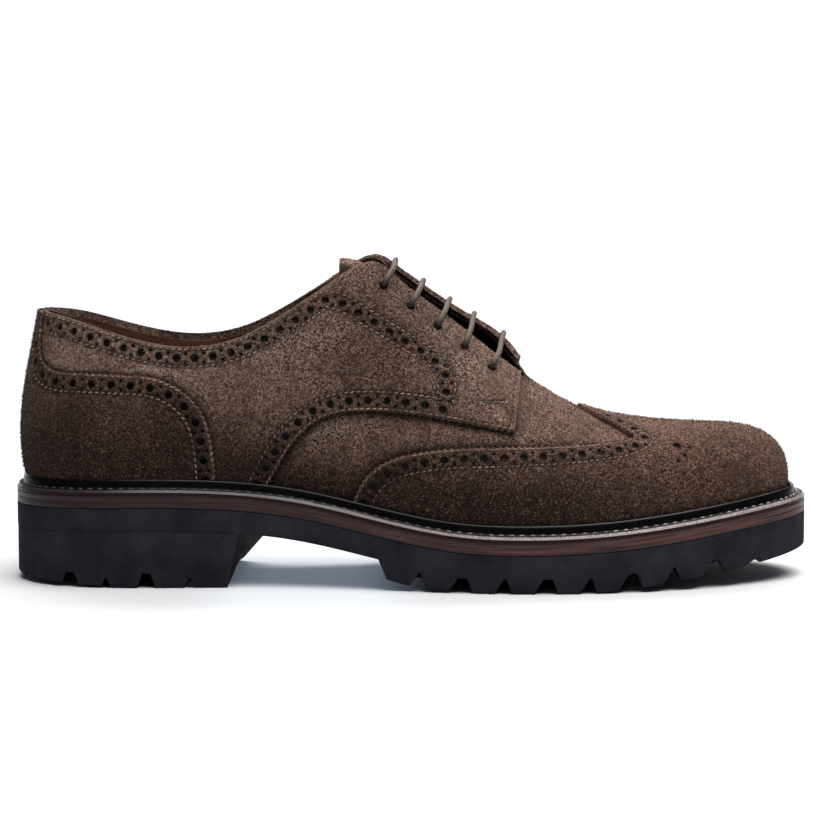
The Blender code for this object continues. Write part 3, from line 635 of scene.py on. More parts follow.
@dataclass(frozen=True)
class Finish:
    """A surface finish, made into one material the first time it is used."""

    name: str
    slot: Slot

    def material(self) -> bpy.types.Material:
        """The finish as a material."""
        if self.name in bpy.data.materials:
            return bpy.data.materials[self.name]
        made = bpy.data.materials.new(self.name)
        made.use_nodes = True
        tree = made.node_tree
        set_inputs(tree, tree.nodes["Principled BSDF"], self.paint(partial(add_node, tree)))
        return made

    def paint(self, add: AddNode) -> Inputs:
        """Adds the finish's own nodes, and returns the shader's inputs."""
        raise NotImplementedError


@dataclass(frozen=True)
class Suede(Finish):
    """Calf suede, split and brushed: matt, with fibres that catch light in specks and brushed patches,
    darkened by painted shade towards the sole and beside lapped edges.
    """

    name: str = "brown_calf_suede"
    slot: Slot = Slot.SUEDE
    deep: str = "0C0705"
    middle: str = "46352C"
    tip: str = "8E786D"
    warm_tip: str = "946E5C"
    raw: str = "765A4B"
    # Colours of pressed nap with painted shadow, and of the painted shade towards the sole
    pressed: str = "170F0C"
    painted_dark: str = "110805"
    sheen: str = "B79A88"
    spared: float = 0.7
    speck: float = 0.68
    tuft: float = 2.4
    patch: float = 24.0
    nap_depth: float = 0.6

    def paint(self, add: AddNode) -> Inputs:
        """Mixes specks, tufts and patches into one tone, then darkens it with painted shade, pits it, darkens
        it with pressed nap and painted shadow, and lightens cut edges.
        """
        place = add("TexCoord", {}, "Object")
        length = add("SeparateXYZ", {0: place})
        burnish, pressed, raw = (
            add("Attribute", {}, "Fac", attribute_name=mark) for mark in ("burnish", "pressed", "raw_edge")
        )
        speck, tuft, patch = (
            add("TexNoise", {"Vector": place, "Scale": per_metre(size), "Detail": detail, "Roughness": 0.6,
                             "Distortion": 0.8})
            for size, detail in ((self.speck, 2.0), (self.tuft, 2.0), (self.patch, 3.0))
        )
        tone = add("Math", {0: tuft, 1: 0.45, 2: speck}, operation="MULTIPLY_ADD")
        tone = add("Math", {0: patch, 1: 0.75, 2: tone}, operation="MULTIPLY_ADD")
        bright = add("MapRange", {0: tone, 1: 0.97, 2: 1.25})
        brushed = add("MapRange", {0: length, 1: -0.12, 2: -0.05, 3: 0.4, 4: 1.0})
        rough = add("MapRange", {0: patch, 1: 0.42, 2: 0.58, 3: 0.25, 4: brushed})
        pit = add("MapRange", {0: speck, 1: 0.53, 2: 0.44, 4: rough})
        # Fibre tips are warmer towards the toe and where painted shade falls
        forward = add("MapRange", {0: length, 1: 0.0, 2: 0.1})
        warmth = add("Math", {0: forward, 1: burnish}, operation="MAXIMUM")
        # Painted shade, which spares some lighter specks
        spared = add("MapRange", {0: speck, 1: 0.51, 2: 0.63, 3: 1.0, 4: self.spared})
        painted_dark = add("Math", {0: burnish, 1: spared}, operation="MULTIPLY")
        tip = add("Mix", {0: warmth, 6: linear(self.tip), 7: linear(self.warm_tip)}, 2, data_type="RGBA")
        colour = add("Mix", {0: bright, 6: linear(self.middle), 7: tip}, 2, data_type="RGBA")
        layers = ((painted_dark, self.painted_dark), (pit, self.deep), (pressed, self.pressed), (raw, self.raw))
        for amount, shade in layers:
            colour = add("Mix", {0: amount, 6: colour, 7: linear(shade)}, 2, data_type="RGBA")
        nap = add("Bump", {"Strength": 1.0, "Distance": self.nap_depth * MM, "Height": tone})
        return {"Base Color": colour, "Normal": nap, "Roughness": 0.97, "Specular IOR Level": 0.15,
                "Sheen Weight": 0.12, "Sheen Roughness": 0.6, "Sheen Tint": linear(self.sheen)}


@dataclass(frozen=True)
class SuedeNap(Finish):
    """Loose fibres of the brushed calf: each one a little lighter or darker than the next."""

    name: str = "brushed_suede_nap"
    slot: Slot = Slot.SUEDE
    dark: str = "150D09"
    light: str = "8A6856"

    def paint(self, add: AddNode) -> Inputs:
        """Gives each fibre its own tone, darker where painted shade falls on the suede beneath."""
        tone = add("Attribute", {}, "Fac", attribute_name="tone")
        colour = add("Mix", {0: tone, 6: linear(self.dark), 7: linear(self.light)}, 2, data_type="RGBA")
        return {"Base Color": colour, "Roughness": 0.95, "Specular IOR Level": 0.15}


@dataclass(frozen=True)
class LiningLeather(Finish):
    """Vegetable-tanned calf, glazed: tan, with a fine pebbled grain and a soft gloss."""

    name: str = "tan_lining_calf"
    slot: Slot = Slot.LINING
    pale: str = "744E36"
    deep: str = "4E3222"
    # Colour of the painted shade
    black: str = "0B0807"
    grain: float = 0.9
    cloud: float = 20.0

    def paint(self, add: AddNode) -> Inputs:
        """Clouds the tan, blackens it with painted shade towards the toe and presses a pebbled grain."""
        place = add("TexCoord", {}, "Object")
        burnish = add("Attribute", {}, "Fac", attribute_name="burnish")
        cloud = add("TexNoise", {"Vector": place, "Scale": per_metre(self.cloud), "Detail": 4.0})
        pebble = add("TexVoronoi", {"Vector": place, "Scale": per_metre(self.grain)}, "Distance")
        shade = add("MapRange", {0: cloud, 1: 0.35, 2: 0.65})
        colour = add("Mix", {0: shade, 6: linear(self.deep), 7: linear(self.pale)}, 2, data_type="RGBA")
        # Painted shade blackens the tan and takes away its reflection
        return {
            "Base Color": add("Mix", {0: burnish, 6: colour, 7: linear(self.black)}, 2, data_type="RGBA"),
            "Roughness": add("MapRange", {0: cloud, 1: 0.3, 2: 0.7, 3: 0.46, 4: 0.60}),
            "Specular IOR Level": add("MapRange", {0: burnish, 3: 0.4, 4: 0.02}),
            "Normal": add("Bump", {"Strength": 0.5, "Distance": 0.1 * MM, "Height": pebble}),
        }


@dataclass(frozen=True)
class Rubber(Finish):
    """Moulded natural rubber: charcoal, matt, with a faint bloom and the mould's fine grit."""

    name: str = "charcoal_moulded_rubber"
    slot: Slot = Slot.RUBBER
    deep: str = "19191E"
    bloom: str = "28282D"
    # Colour of the painted shade on the heel's breast
    black: str = "060607"
    shade: float = 0.9
    grit: float = 0.45
    cloud: float = 16.0

    def paint(self, add: AddNode) -> Inputs:
        """Clouds the charcoal with bloom, blackens the heel's breast with painted shade and adds the mould's
        grit.
        """
        place = add("TexCoord", {}, "Object")
        length = add("SeparateXYZ", {0: place})
        forward = add("SeparateXYZ", {0: add("NewGeometry", {}, "Normal")})
        cloud = add("TexNoise", {
            "Vector": place, "Scale": per_metre(self.cloud), "Detail": 5.0, "Roughness": 0.6,
        })
        grit = add("TexNoise", {"Vector": place, "Scale": per_metre(self.grit), "Detail": 2.0})
        bloom = add("MapRange", {0: cloud, 1: 0.35, 2: 0.68})
        # Painted shade: faces that look forward behind the middle of the shoe, such as the heel's breast,
        # turn black
        waist = add("MapRange", {0: length, 1: 0.0, 2: -0.02, 4: self.shade})
        shaded = add("MapRange", {0: forward, 1: 0.35, 2: 0.7, 4: waist})
        colour = add("Mix", {0: bloom, 6: linear(self.deep), 7: linear(self.bloom)}, 2, data_type="RGBA")
        return {
            "Base Color": add("Mix", {0: shaded, 6: colour, 7: linear(self.black)}, 2, data_type="RGBA"),
            "Roughness": add("MapRange", {0: cloud, 1: 0.3, 2: 0.7, 3: 0.72, 4: 0.86}),
            "Normal": add("Bump", {"Strength": 0.35, "Distance": 0.06 * MM, "Height": grit}),
            "Specular IOR Level": 0.1,
            "IOR": 1.3,
        }


@dataclass(frozen=True)
class EdgeLeather(Finish):
    """Stacked sole leather, trimmed, stained burgundy and waxed: streaks along the edge under a low gloss."""

    name: str = "burgundy_waxed_edge"
    slot: Slot = Slot.MIDSOLE
    dark: str = "1E1214"
    stain: str = "583A36"
    streak_length: float = 30.0
    streak_width: float = 0.9
    gloss: float = 0.45

    def paint(self, add: AddNode) -> Inputs:
        """Draws streaks along the edge, and darkens its upper and lower lines, and its rear half with painted
        shade.
        """
        edge = add("Attribute", {}, "Vector", attribute_name="edge")
        depth = add("SeparateXYZ", {0: edge}, 1)
        length = add("SeparateXYZ", {0: add("TexCoord", {}, "Object")})
        stretch = (1 / self.streak_length, 1 / self.streak_width, 1.0)
        along = add("Mapping", {"Vector": edge, "Scale": stretch})
        streak = add("TexNoise", {"Vector": along, "Scale": 1.0, "Detail": 4.0, "Roughness": 0.65})
        shade = add("MapRange", {0: streak, 1: 0.34, 2: 0.66})
        # Painted shade darkens the rear half of the edge
        painted_toe_light = add("MapRange", {0: length, 1: -0.09, 2: 0.05, 3: 0.22, 4: 0.95})
        top = add("MapRange", {0: depth, 1: 2.7, 2: 3.6, 3: 0.1, 4: 1.0})
        low = add("MapRange", {0: depth, 1: 7.2, 2: 6.2, 3: 0.25, 4: 1.0})
        for part in (painted_toe_light, top, low):
            shade = add("Math", {0: shade, 1: part}, operation="MULTIPLY")
        colour = add("Mix", {0: shade, 6: linear(self.dark), 7: linear(self.stain)}, 2, data_type="RGBA")
        fibres = add("Bump", {"Strength": 0.4, "Distance": 0.08 * MM, "Height": streak})
        return {"Base Color": colour, "Normal": fibres, "Roughness": self.gloss, "Specular IOR Level": 0.2}


@dataclass(frozen=True)
class WeltLeather(Finish):
    """Oak-bark welt leather, dyed black-brown, ironed with wax: smooth and glossy on its wheeled rim."""

    name: str = "black_ironed_welt"
    slot: Slot = Slot.WELT
    black: str = "080606"
    brown: str = "261214"
    # Colour of the painted highlight on the wheeled rim
    rim: str = "847673"
    cloud: float = 7.0
    grain: float = 0.6
    gloss: float = 0.24

    def paint(self, add: AddNode) -> Inputs:
        """Lets brown leather show on the outer side and paints a pale highlight on the wheeled rim above it,
        dimmer towards the heel, and adds wax smears.
        """
        place = add("TexCoord", {}, "Object")
        length = add("SeparateXYZ", {0: place})
        depth = add("SeparateXYZ", {0: add("Attribute", {}, "Vector", attribute_name="edge")}, 1)
        cloud = add("TexNoise", {
            "Vector": place, "Scale": per_metre(self.cloud), "Detail": 6.0, "Roughness": 0.8,
        })
        grain = add("TexNoise", {"Vector": place, "Scale": per_metre(self.grain), "Detail": 2.0})
        side = add("MapRange", {0: depth, 1: 1.2, 2: 1.5})
        # Painted highlight on the wheeled rim, speckled and fading towards the heel
        painted_toe_light = add("MapRange", {0: length, 1: -0.06, 2: 0.045, 3: 0.1, 4: 1.0})
        speckle = add("MapRange", {0: grain, 1: 0.38, 2: 0.56, 3: 0.3, 4: painted_toe_light})
        upper = add("MapRange", {0: depth, 1: 0.22, 2: 0.45, 4: speckle})
        lower = add("MapRange", {0: depth, 1: 1.45, 2: 1.3, 4: painted_toe_light})
        rim = add("Math", {0: upper, 1: lower}, operation="MINIMUM")
        colour = add("Mix", {0: side, 6: linear(self.black), 7: linear(self.brown)}, 2, data_type="RGBA")
        colour = add("Mix", {0: rim, 6: colour, 7: linear(self.rim)}, 2, data_type="RGBA")
        shine = add("MapRange", {0: depth, 1: -3.25, 2: -2.9, 3: 0.22, 4: 0.05})
        strip = add("MapRange", {0: depth, 1: -0.6, 2: -0.3, 3: 0.0, 4: 0.15})
        dull_side = add("MapRange", {0: depth, 1: 1.3, 2: 1.5, 3: 0.0, 4: -0.13})
        for part in (strip, dull_side):
            shine = add("Math", {0: shine, 1: part}, operation="ADD")
        wax = add("MapRange", {0: cloud, 1: 0.3, 2: 0.7, 3: self.gloss - 0.1, 4: self.gloss + 0.16})
        return {"Base Color": colour, "Roughness": wax, "Specular IOR Level": shine}


@dataclass(frozen=True)
class WaxedCord(Finish):
    """Braided cotton cord, dyed taupe and waxed: a dull shine on the crowns of the braid."""

    name: str = "taupe_waxed_cord"
    slot: Slot = Slot.CORD
    # Colours of the painted shade in the braid's hollows and of its crowns
    hollow_shade: str = "1F1915"
    crown: str = "5F5046"

    def paint(self, add: AddNode) -> Inputs:
        """Paints shade into the braid's hollows and by the eyelets, and leaves the crowns lighter."""
        crown = add("Attribute", {}, "Fac", attribute_name="crown")
        colour = add("Mix", {0: crown, 6: linear(self.hollow_shade), 7: linear(self.crown)}, 2, data_type="RGBA")
        wax = add("MapRange", {0: crown, 3: 0.75, 4: 0.5})
        return {"Base Color": colour, "Roughness": wax, "Specular IOR Level": 0.2}


@dataclass(frozen=True)
class Thread(Finish):
    """Twisted thread, waxed: paler than the suede, its tone drifting from stitch to stitch."""

    name: str = "rosy_brown_thread"
    slot: Slot = Slot.CORD
    dark: str = "3C2B23"
    pale: str = "8B7061"
    drift: float = 5.0
    # Axis and span along which the painted shade on the thread lifts, and the thread's level in that shade
    fade_axis: int = 2
    fade: tuple[float, float] = (0.02, 0.07)
    painted_shade_level: float = 0.3

    def paint(self, add: AddNode) -> Inputs:
        """Drifts the tone along the rows, and darkens it with painted shade towards the sole or the heel."""
        place = add("TexCoord", {}, "Object")
        drift = add("TexNoise", {"Vector": place, "Scale": per_metre(self.drift)})
        across = add("SeparateXYZ", {0: place}, self.fade_axis)
        # Painted shade towards the sole or the heel
        painted_lit_share = add("MapRange", {0: across, 1: self.fade[0], 2: self.fade[1], 3: self.painted_shade_level})
        shade = add("MapRange", {0: drift, 1: 0.35, 2: 0.65, 4: painted_lit_share})
        colour = add("Mix", {0: shade, 6: linear(self.dark), 7: linear(self.pale)}, 2, data_type="RGBA")
        return {"Base Color": colour, "Roughness": 0.6}


@dataclass(frozen=True)
class BackingAndHoleShade(Finish):
    """Cotton backing under the punched holes, near black and fully matt: it also stands for the shade inside
    each hole.
    """

    name: str = "backing_and_hole_shade"
    slot: Slot = Slot.LINING
    dark: str = "080605"
    pale: str = "15100D"
    weave: float = 0.4

    def paint(self, add: AddNode) -> Inputs:
        """Flecks the black with the cloth's weave."""
        weave = add("TexNoise", {"Vector": add("TexCoord", {}, "Object"), "Scale": per_metre(self.weave)})
        colour = add("Mix", {0: weave, 6: linear(self.dark), 7: linear(self.pale)}, 2, data_type="RGBA")
        return {"Base Color": colour, "Roughness": 1.0}


# Making pieces

def make_piece(
    name: str,
    points: Array,
    faces: Sequence[Array],
    finish: Finish,
    stands_for: Sequence[str] = (),
    marks: dict[str, Array] | None = None,
    weld: bool = False,
    sharp: float = 40.0,
) -> None:
    """Makes one piece of the shoe in place, with its finish and what it stands for.

    Args:
        name: Name of the piece.
        points: Corners in millimetres.
        faces: Arrays of corner numbers, one array for each number of corners in a face.
        finish: The surface finish.
        stands_for: CAD nodes that the piece replaces.
        marks: Values at the corners, which the finish reads by name.
        weld: Whether corners at the same place are merged and the faces turned outwards.
        sharp: Edges that bend by more degrees than this are sharp.
    """
    mesh = bpy.data.meshes.new(name)
    mesh.from_pydata((points * MM).tolist(), [], [face for group in faces for face in group.tolist()])
    for mark, values in (marks or {}).items():
        kind, key = ("FLOAT", "value") if values.ndim == 1 else ("FLOAT_VECTOR", "vector")
        layer = mesh.attributes.new(mark, kind, "POINT")
        layer.data.foreach_set(key, values.astype(np.float32).ravel())
    if weld:
        body = bmesh.new()
        body.from_mesh(mesh)
        bmesh.ops.remove_doubles(body, verts=body.verts, dist=0.005 * MM)
        bmesh.ops.dissolve_degenerate(body, edges=body.edges, dist=0.001 * MM)
        bmesh.ops.recalc_face_normals(body, faces=body.faces)
        body.to_mesh(mesh)
        body.free()
    mesh.validate()
    mesh.shade_smooth()
    mesh.set_sharp_from_angle(angle=math.radians(sharp))
    mesh.materials.append(finish.material())
    piece = bpy.data.objects.new(name, mesh)
    bpy.context.scene.collection.objects.link(piece)
    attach(piece, "root")
    if stands_for:
        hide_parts(*stands_for)
    LOG.info("%s: %d faces", name, len(mesh.polygons))


def shell_faces(faces: Array, count: int) -> list[Array]:
    """Faces of a closed wall: the outer face, the inner one turned over and the sides between their rims.

    Args:
        faces: Faces of the outer side.
        count: Number of corners of one side; the inner side's corners follow the outer side's.

    Returns:
        Arrays of faces.
    """
    start, end = rim_edges(faces).T
    sides = np.stack([end, start, start + count, end + count], -1)
    return [faces, faces[:, ::-1] + count, sides]


@dataclass
class Punch:
    """A set of round holes of one size."""

    centres: Array
    radius: float
    sides: int

    def grown(self, last: Last, margin: float) -> Array:
        """Rings of places a margin outside the holes."""
        return last.rings(self.centres, self.radius + margin, self.sides)


@dataclass
class Stitching:
    """Rows of stitches, joined into one piece: each a slim capsule that dips at both ends."""

    name: str
    finish: Finish
    pitch: float = 2.35
    length: float = 1.7
    width: float = 0.58
    slant: float = 12.0
    dive: float = 0.30
    sides: int = 6
    rows: list[tuple[Array, Array, Array]] = field(default_factory=list)

    def sew(self, line: DrawnLine, level: float, pitch: float | None = None) -> None:
        """Adds stitches along a line.

        Args:
            line: The row.
            level: Height of the stitches over the last.
            pitch: Distance between stitches, where it isn't the usual one.
        """
        pitch = pitch or self.pitch
        run = np.arange(0.5 * pitch, line.length - 0.3 * pitch, pitch)
        places = line.at(run)
        centres = line.last.raised(places, np.full(len(run), level))
        self.lay(centres, line.heading(run), line.last.normal(places))

    def lay(self, centres: Array, heading: Array, outward: Array) -> None:
        """Adds stitches at given points."""
        turn = math.radians(self.slant)
        heading = unit(heading - (heading * outward).sum(-1, keepdims=True) * outward)
        slanted = math.cos(turn) * heading + math.sin(turn) * np.cross(outward, heading)
        self.rows.append((centres, slanted, outward))

    def build(self) -> None:
        """Makes the piece: rings of corners along each stitch, thin and sunk at the ends."""
        centres, heading, outward = (np.concatenate(part)[:, None, None] for part in zip(*self.rows))
        along = np.array([-1.0, -0.7, 0.0, 0.7, 1.0])[:, None, None]
        thick = self.width / 2 * np.array([0.45, 0.9, 1.0, 0.9, 0.45])[:, None, None]
        turn = (np.arange(self.sides) * 2 * math.pi / self.sides)[None, :, None]
        across = np.cross(outward, heading)
        rise = thick * np.sin(turn) - self.dive * along ** 2
        points = centres + along * self.length / 2 * heading + thick * np.cos(turn) * across + rise * outward
        count, rings = len(points), len(along)
        first = np.arange(count)[:, None, None] * rings * self.sides
        walls = (first + grid_faces(rings, self.sides, wrap_rows=True)[None]).reshape(-1, 4)
        ring = np.arange(self.sides)
        ends = first + np.stack([ring[::-1], ring + (rings - 1) * self.sides])[None]
        faces = [walls[:, ::-1], ends[..., ::-1].reshape(-1, self.sides)]
        make_piece(self.name, points.reshape(-1, 3), faces, self.finish, sharp=180.0)


@dataclass
class Panel:
    """A piece of leather cut to shape on the last, with its punched holes, cut edges and sewn rows."""

    last: Last
    loop: Array
    low: float
    high: float
    punches: list[Punch] = field(default_factory=list)
    edges: list[Array] = field(default_factory=list)
    seams: list[DrawnLine] = field(default_factory=list)
    # How much painted shade darkens the piece: levels at the heel and at the front, an extra band over a
    # hollow, and the rise over which it grows towards the sole
    dark: tuple[float, float] = (0.0, 0.0)
    hollow_shade_amount: float = 0.0
    fade: tuple[float, float] = (11.0, 48.0)
    raw_edges: list[Array] = field(default_factory=list)
    # Painted shade on the cut faces of the edges, and painted shadow beside the dark edges
    edge_shade: float = 0.0
    dark_edges: list[Array] = field(default_factory=list)
    lift: float = 0.0
    lift_margin: tuple[float, float] = (1.6, 3.0)
    edge_round: float = 0.45
    seam_depth: float = 0.38
    seam_width: float = 0.85
    hole_dip: float = 0.22
    # Where the painted shade changes from heel to front, where its hollow lies, how far it reaches near the
    # sole and how much less near the toe, and a painted shadow along the welt
    heel_change: tuple[float, float] = (-45.0, 5.0)
    hollow_shade: tuple[float, float] = (-8.0, 26.0)
    shade_reach: float = 0.97
    toe_shade_fade: tuple[tuple[float, float, float], ...] = ((0.22, 50.0, 110.0), (0.16, 108.0, 138.0))
    welt_shadow: tuple[float, float, float] = (0.9, 3.4, 1.8)
    columns: int = 150
    rows: int = 36
    scale: tuple[float, float] = (350.0, 95.0)

    def marks(self) -> Array:
        """Places beside cut edges, sewn rows and holes, where the mesh needs corners."""
        found = [np.zeros((0, 2))]
        for edge in self.edges:
            line = DrawnLine(self.last, edge)
            found += [line.inset(distance).every(1.0) for distance in (0.5, 1.1)]
        for seam in self.seams:
            run = np.arange(0.4, seam.length, 0.95)
            away = seam.sideways(run)
            found += [seam.at(run) + shift * away for shift in (-1.5, -0.75, 0.0, 0.75, 1.5)]
        for punch in self.punches:
            found += [punch.grown(self.last, margin).reshape(-1, 2) for margin in (0.35, 0.9)]
        return np.concatenate(found)

    def burnish(self, points: Array) -> Array:
        """How much painted shade darkens the piece: a level from heel to front with a band over a hollow,
        more towards the sole and a painted shadow along the welt; on the counter the level is also its own
        darker tone.
        """
        x = points[:, 0]
        rise = points[:, 2] - self.last.welt_top(x)
        back, front = self.dark
        middle, width = self.hollow_shade
        dark = back + (front - back) * ramp(x, *self.heel_change) + self.hollow_shade_amount * bump(x - middle, width)
        reach = self.shade_reach - sum(share * ramp(x, start, end) for share, start, end in self.toe_shade_fade)
        dark = dark + (reach - dark) * (1 - ramp(rise, *self.fade))
        share, start, depth = self.welt_shadow
        return 1 - (1 - dark) * (1 - share * np.exp(-np.maximum(rise - start, 0) / depth))

    def away(self, points: Array, lines: Sequence[DrawnLine]) -> Array:
        """Distance from points to the nearest of some lines, very far where there are none."""
        return nearest(points, np.concatenate([np.full((1, 3), FAR), *(line.points for line in lines)]))

    def cut(self) -> tuple[Array, Array]:
        """Triangulates the panel in the plane of places.

        Returns:
            Places of the corners, and triangles.
        """
        scale = np.array(self.scale)
        rings = [ring for punch in self.punches for ring in punch.grown(self.last, 0.0)]
        loops = [ring * scale for ring in (self.loop, *rings)]
        fixed = np.concatenate(loops)
        marks = self.marks() * scale
        marks = marks[np.unique(np.round(marks / 0.6), axis=0, return_index=True)[1]]
        marks = marks[inside(marks, loops[0])]
        marks = marks[nearest(marks, fixed) > 0.32] if len(marks) else marks
        low, high = self.loop[:, 0].min() * self.columns, self.loop[:, 0].max() * self.columns
        ways = np.arange(math.floor(low), math.ceil(high) + 1) / self.columns
        grid = np.stack(np.meshgrid(ways, np.arange(1, self.rows) / self.rows), -1).reshape(-1, 2)
        cells = np.round(self.last.skin(grid) / 1.3)
        grid = grid[np.unique(cells, axis=0, return_index=True)[1]] * scale
        grid = grid[inside(grid, loops[0])]
        grid = grid[nearest(grid, np.concatenate([fixed, marks])) > 1.2]
        corners = np.concatenate([fixed, marks, grid])
        ends = np.cumsum([len(loop) for loop in loops])
        numbers = [list(range(end - len(loop), end)) for end, loop in zip(ends, loops)]
        made = geometry.delaunay_2d_cdt(corners.tolist(), [], numbers, 0, 1e-6)
        kept = [list(face) for face, sources in zip(made[2], made[5]) if list(sources) == [0]]
        source = np.array([sources[0] if sources else -1 for sources in made[3]])
        met = np.array([tuple(spot) for spot in made[0]])
        return np.where((source < 0)[:, None], met, corners[source]) / scale, np.array(kept)

    def joined(self, places: Array, triangles: Array) -> tuple[Array, Array]:
        """Merges corners that meet on the ridge or at the back seam, and drops unused corners."""
        share, _ = self.last.fold(places[:, 0])
        meets = ((share >= self.last.throat_share) & (places[:, 1] > 1 - 1e-6)) | (share < 1e-9)
        folded = np.round(np.stack([share, places[:, 1]], -1), 7)
        key = np.where(meets[:, None], folded, places + (10.0, 0.0))
        _, first, number = np.unique(key, axis=0, return_index=True, return_inverse=True)
        triangles = number.reshape(-1)[triangles]
        distinct = (triangles != np.roll(triangles, 1, axis=1)).all(1)
        used, triangles = np.unique(triangles[distinct], return_inverse=True)
        return places[first[used]], triangles.reshape(-1, 3)

    def build(self, name: str, finish: Finish, stands_for: Sequence[str] = ()) -> tuple[Array, Array, Array]:
        """Makes the piece: rounded cut edges, rows pressed down by their thread, and dipped rims of holes.

        Args:
            name: Name of the piece.
            finish: Its finish.
            stands_for: CAD nodes that it replaces.

        Returns:
            Points and triangles of its outer face, and how much painted shade darkens each point's fibres.
        """
        places, triangles = self.joined(*self.cut())
        points = self.last.skin(places)
        count = len(points)
        rim = np.unique(rim_edges(triangles))
        to_edge, to_raw, to_dark = (
            self.away(points, [DrawnLine(self.last, edge) for edge in edges])
            for edges in (self.edges, self.raw_edges, self.dark_edges)
        )
        to_seam = self.away(points, self.seams)
        to_hole = np.full(count, FAR)
        for punch in self.punches:
            away = nearest(points, self.last.skin(punch.centres)) - punch.radius
            to_hole = np.minimum(to_hole, np.maximum(away, 0))
        fall = self.edge_round * np.exp(-to_edge / 0.4) + self.seam_depth * bump(to_seam, self.seam_width)
        fall += self.hole_dip * np.exp(-to_hole / 0.5)
        under = self.low + self.lift * (1 - ramp(to_edge, *self.lift_margin))
        outer = self.last.raised(places, self.high - fall)
        inner = self.last.raised(places, under)
        at_rim = np.zeros(count)
        at_rim[rim] = to_raw[rim] < 0.05
        # Cut edges are lighter, less so at the wing's peak, where painted shade dims them
        raw = 0.85 * np.exp(-to_raw / 0.6) * (1 - 0.5 * ramp(points[:, 0], 66.0, 82.0))
        # Pressed nap and painted shadow darken sewn rows, lapped edges and the rims of holes; painted shadow
        # lies beside the dark edges
        pressed = np.clip(0.95 * bump(to_seam, self.seam_width) + 0.6 * np.exp(-to_hole / 0.6), 0, 0.95)
        shaded = np.exp(-to_dark / 0.55)
        raw *= 1 - shaded
        pressed = np.maximum(pressed, 0.9 * shaded)
        # Cut faces of the rims are lighter, or darkened by painted shade as far as the edge shade goes
        marks = {
            "raw_edge": np.concatenate([raw, 0.7 * at_rim * (1 - self.edge_shade)]),
            "pressed": np.concatenate([pressed * (1 - raw), at_rim * self.edge_shade]),
            "burnish": np.tile(self.burnish(points), 2),
        }
        walls = shell_faces(triangles, count)
        make_piece(name, np.concatenate([outer, inner]), walls, finish, stands_for, marks, sharp=48.0)
        return outer, triangles, np.maximum(marks["burnish"], marks["pressed"])[:count]


# Upper

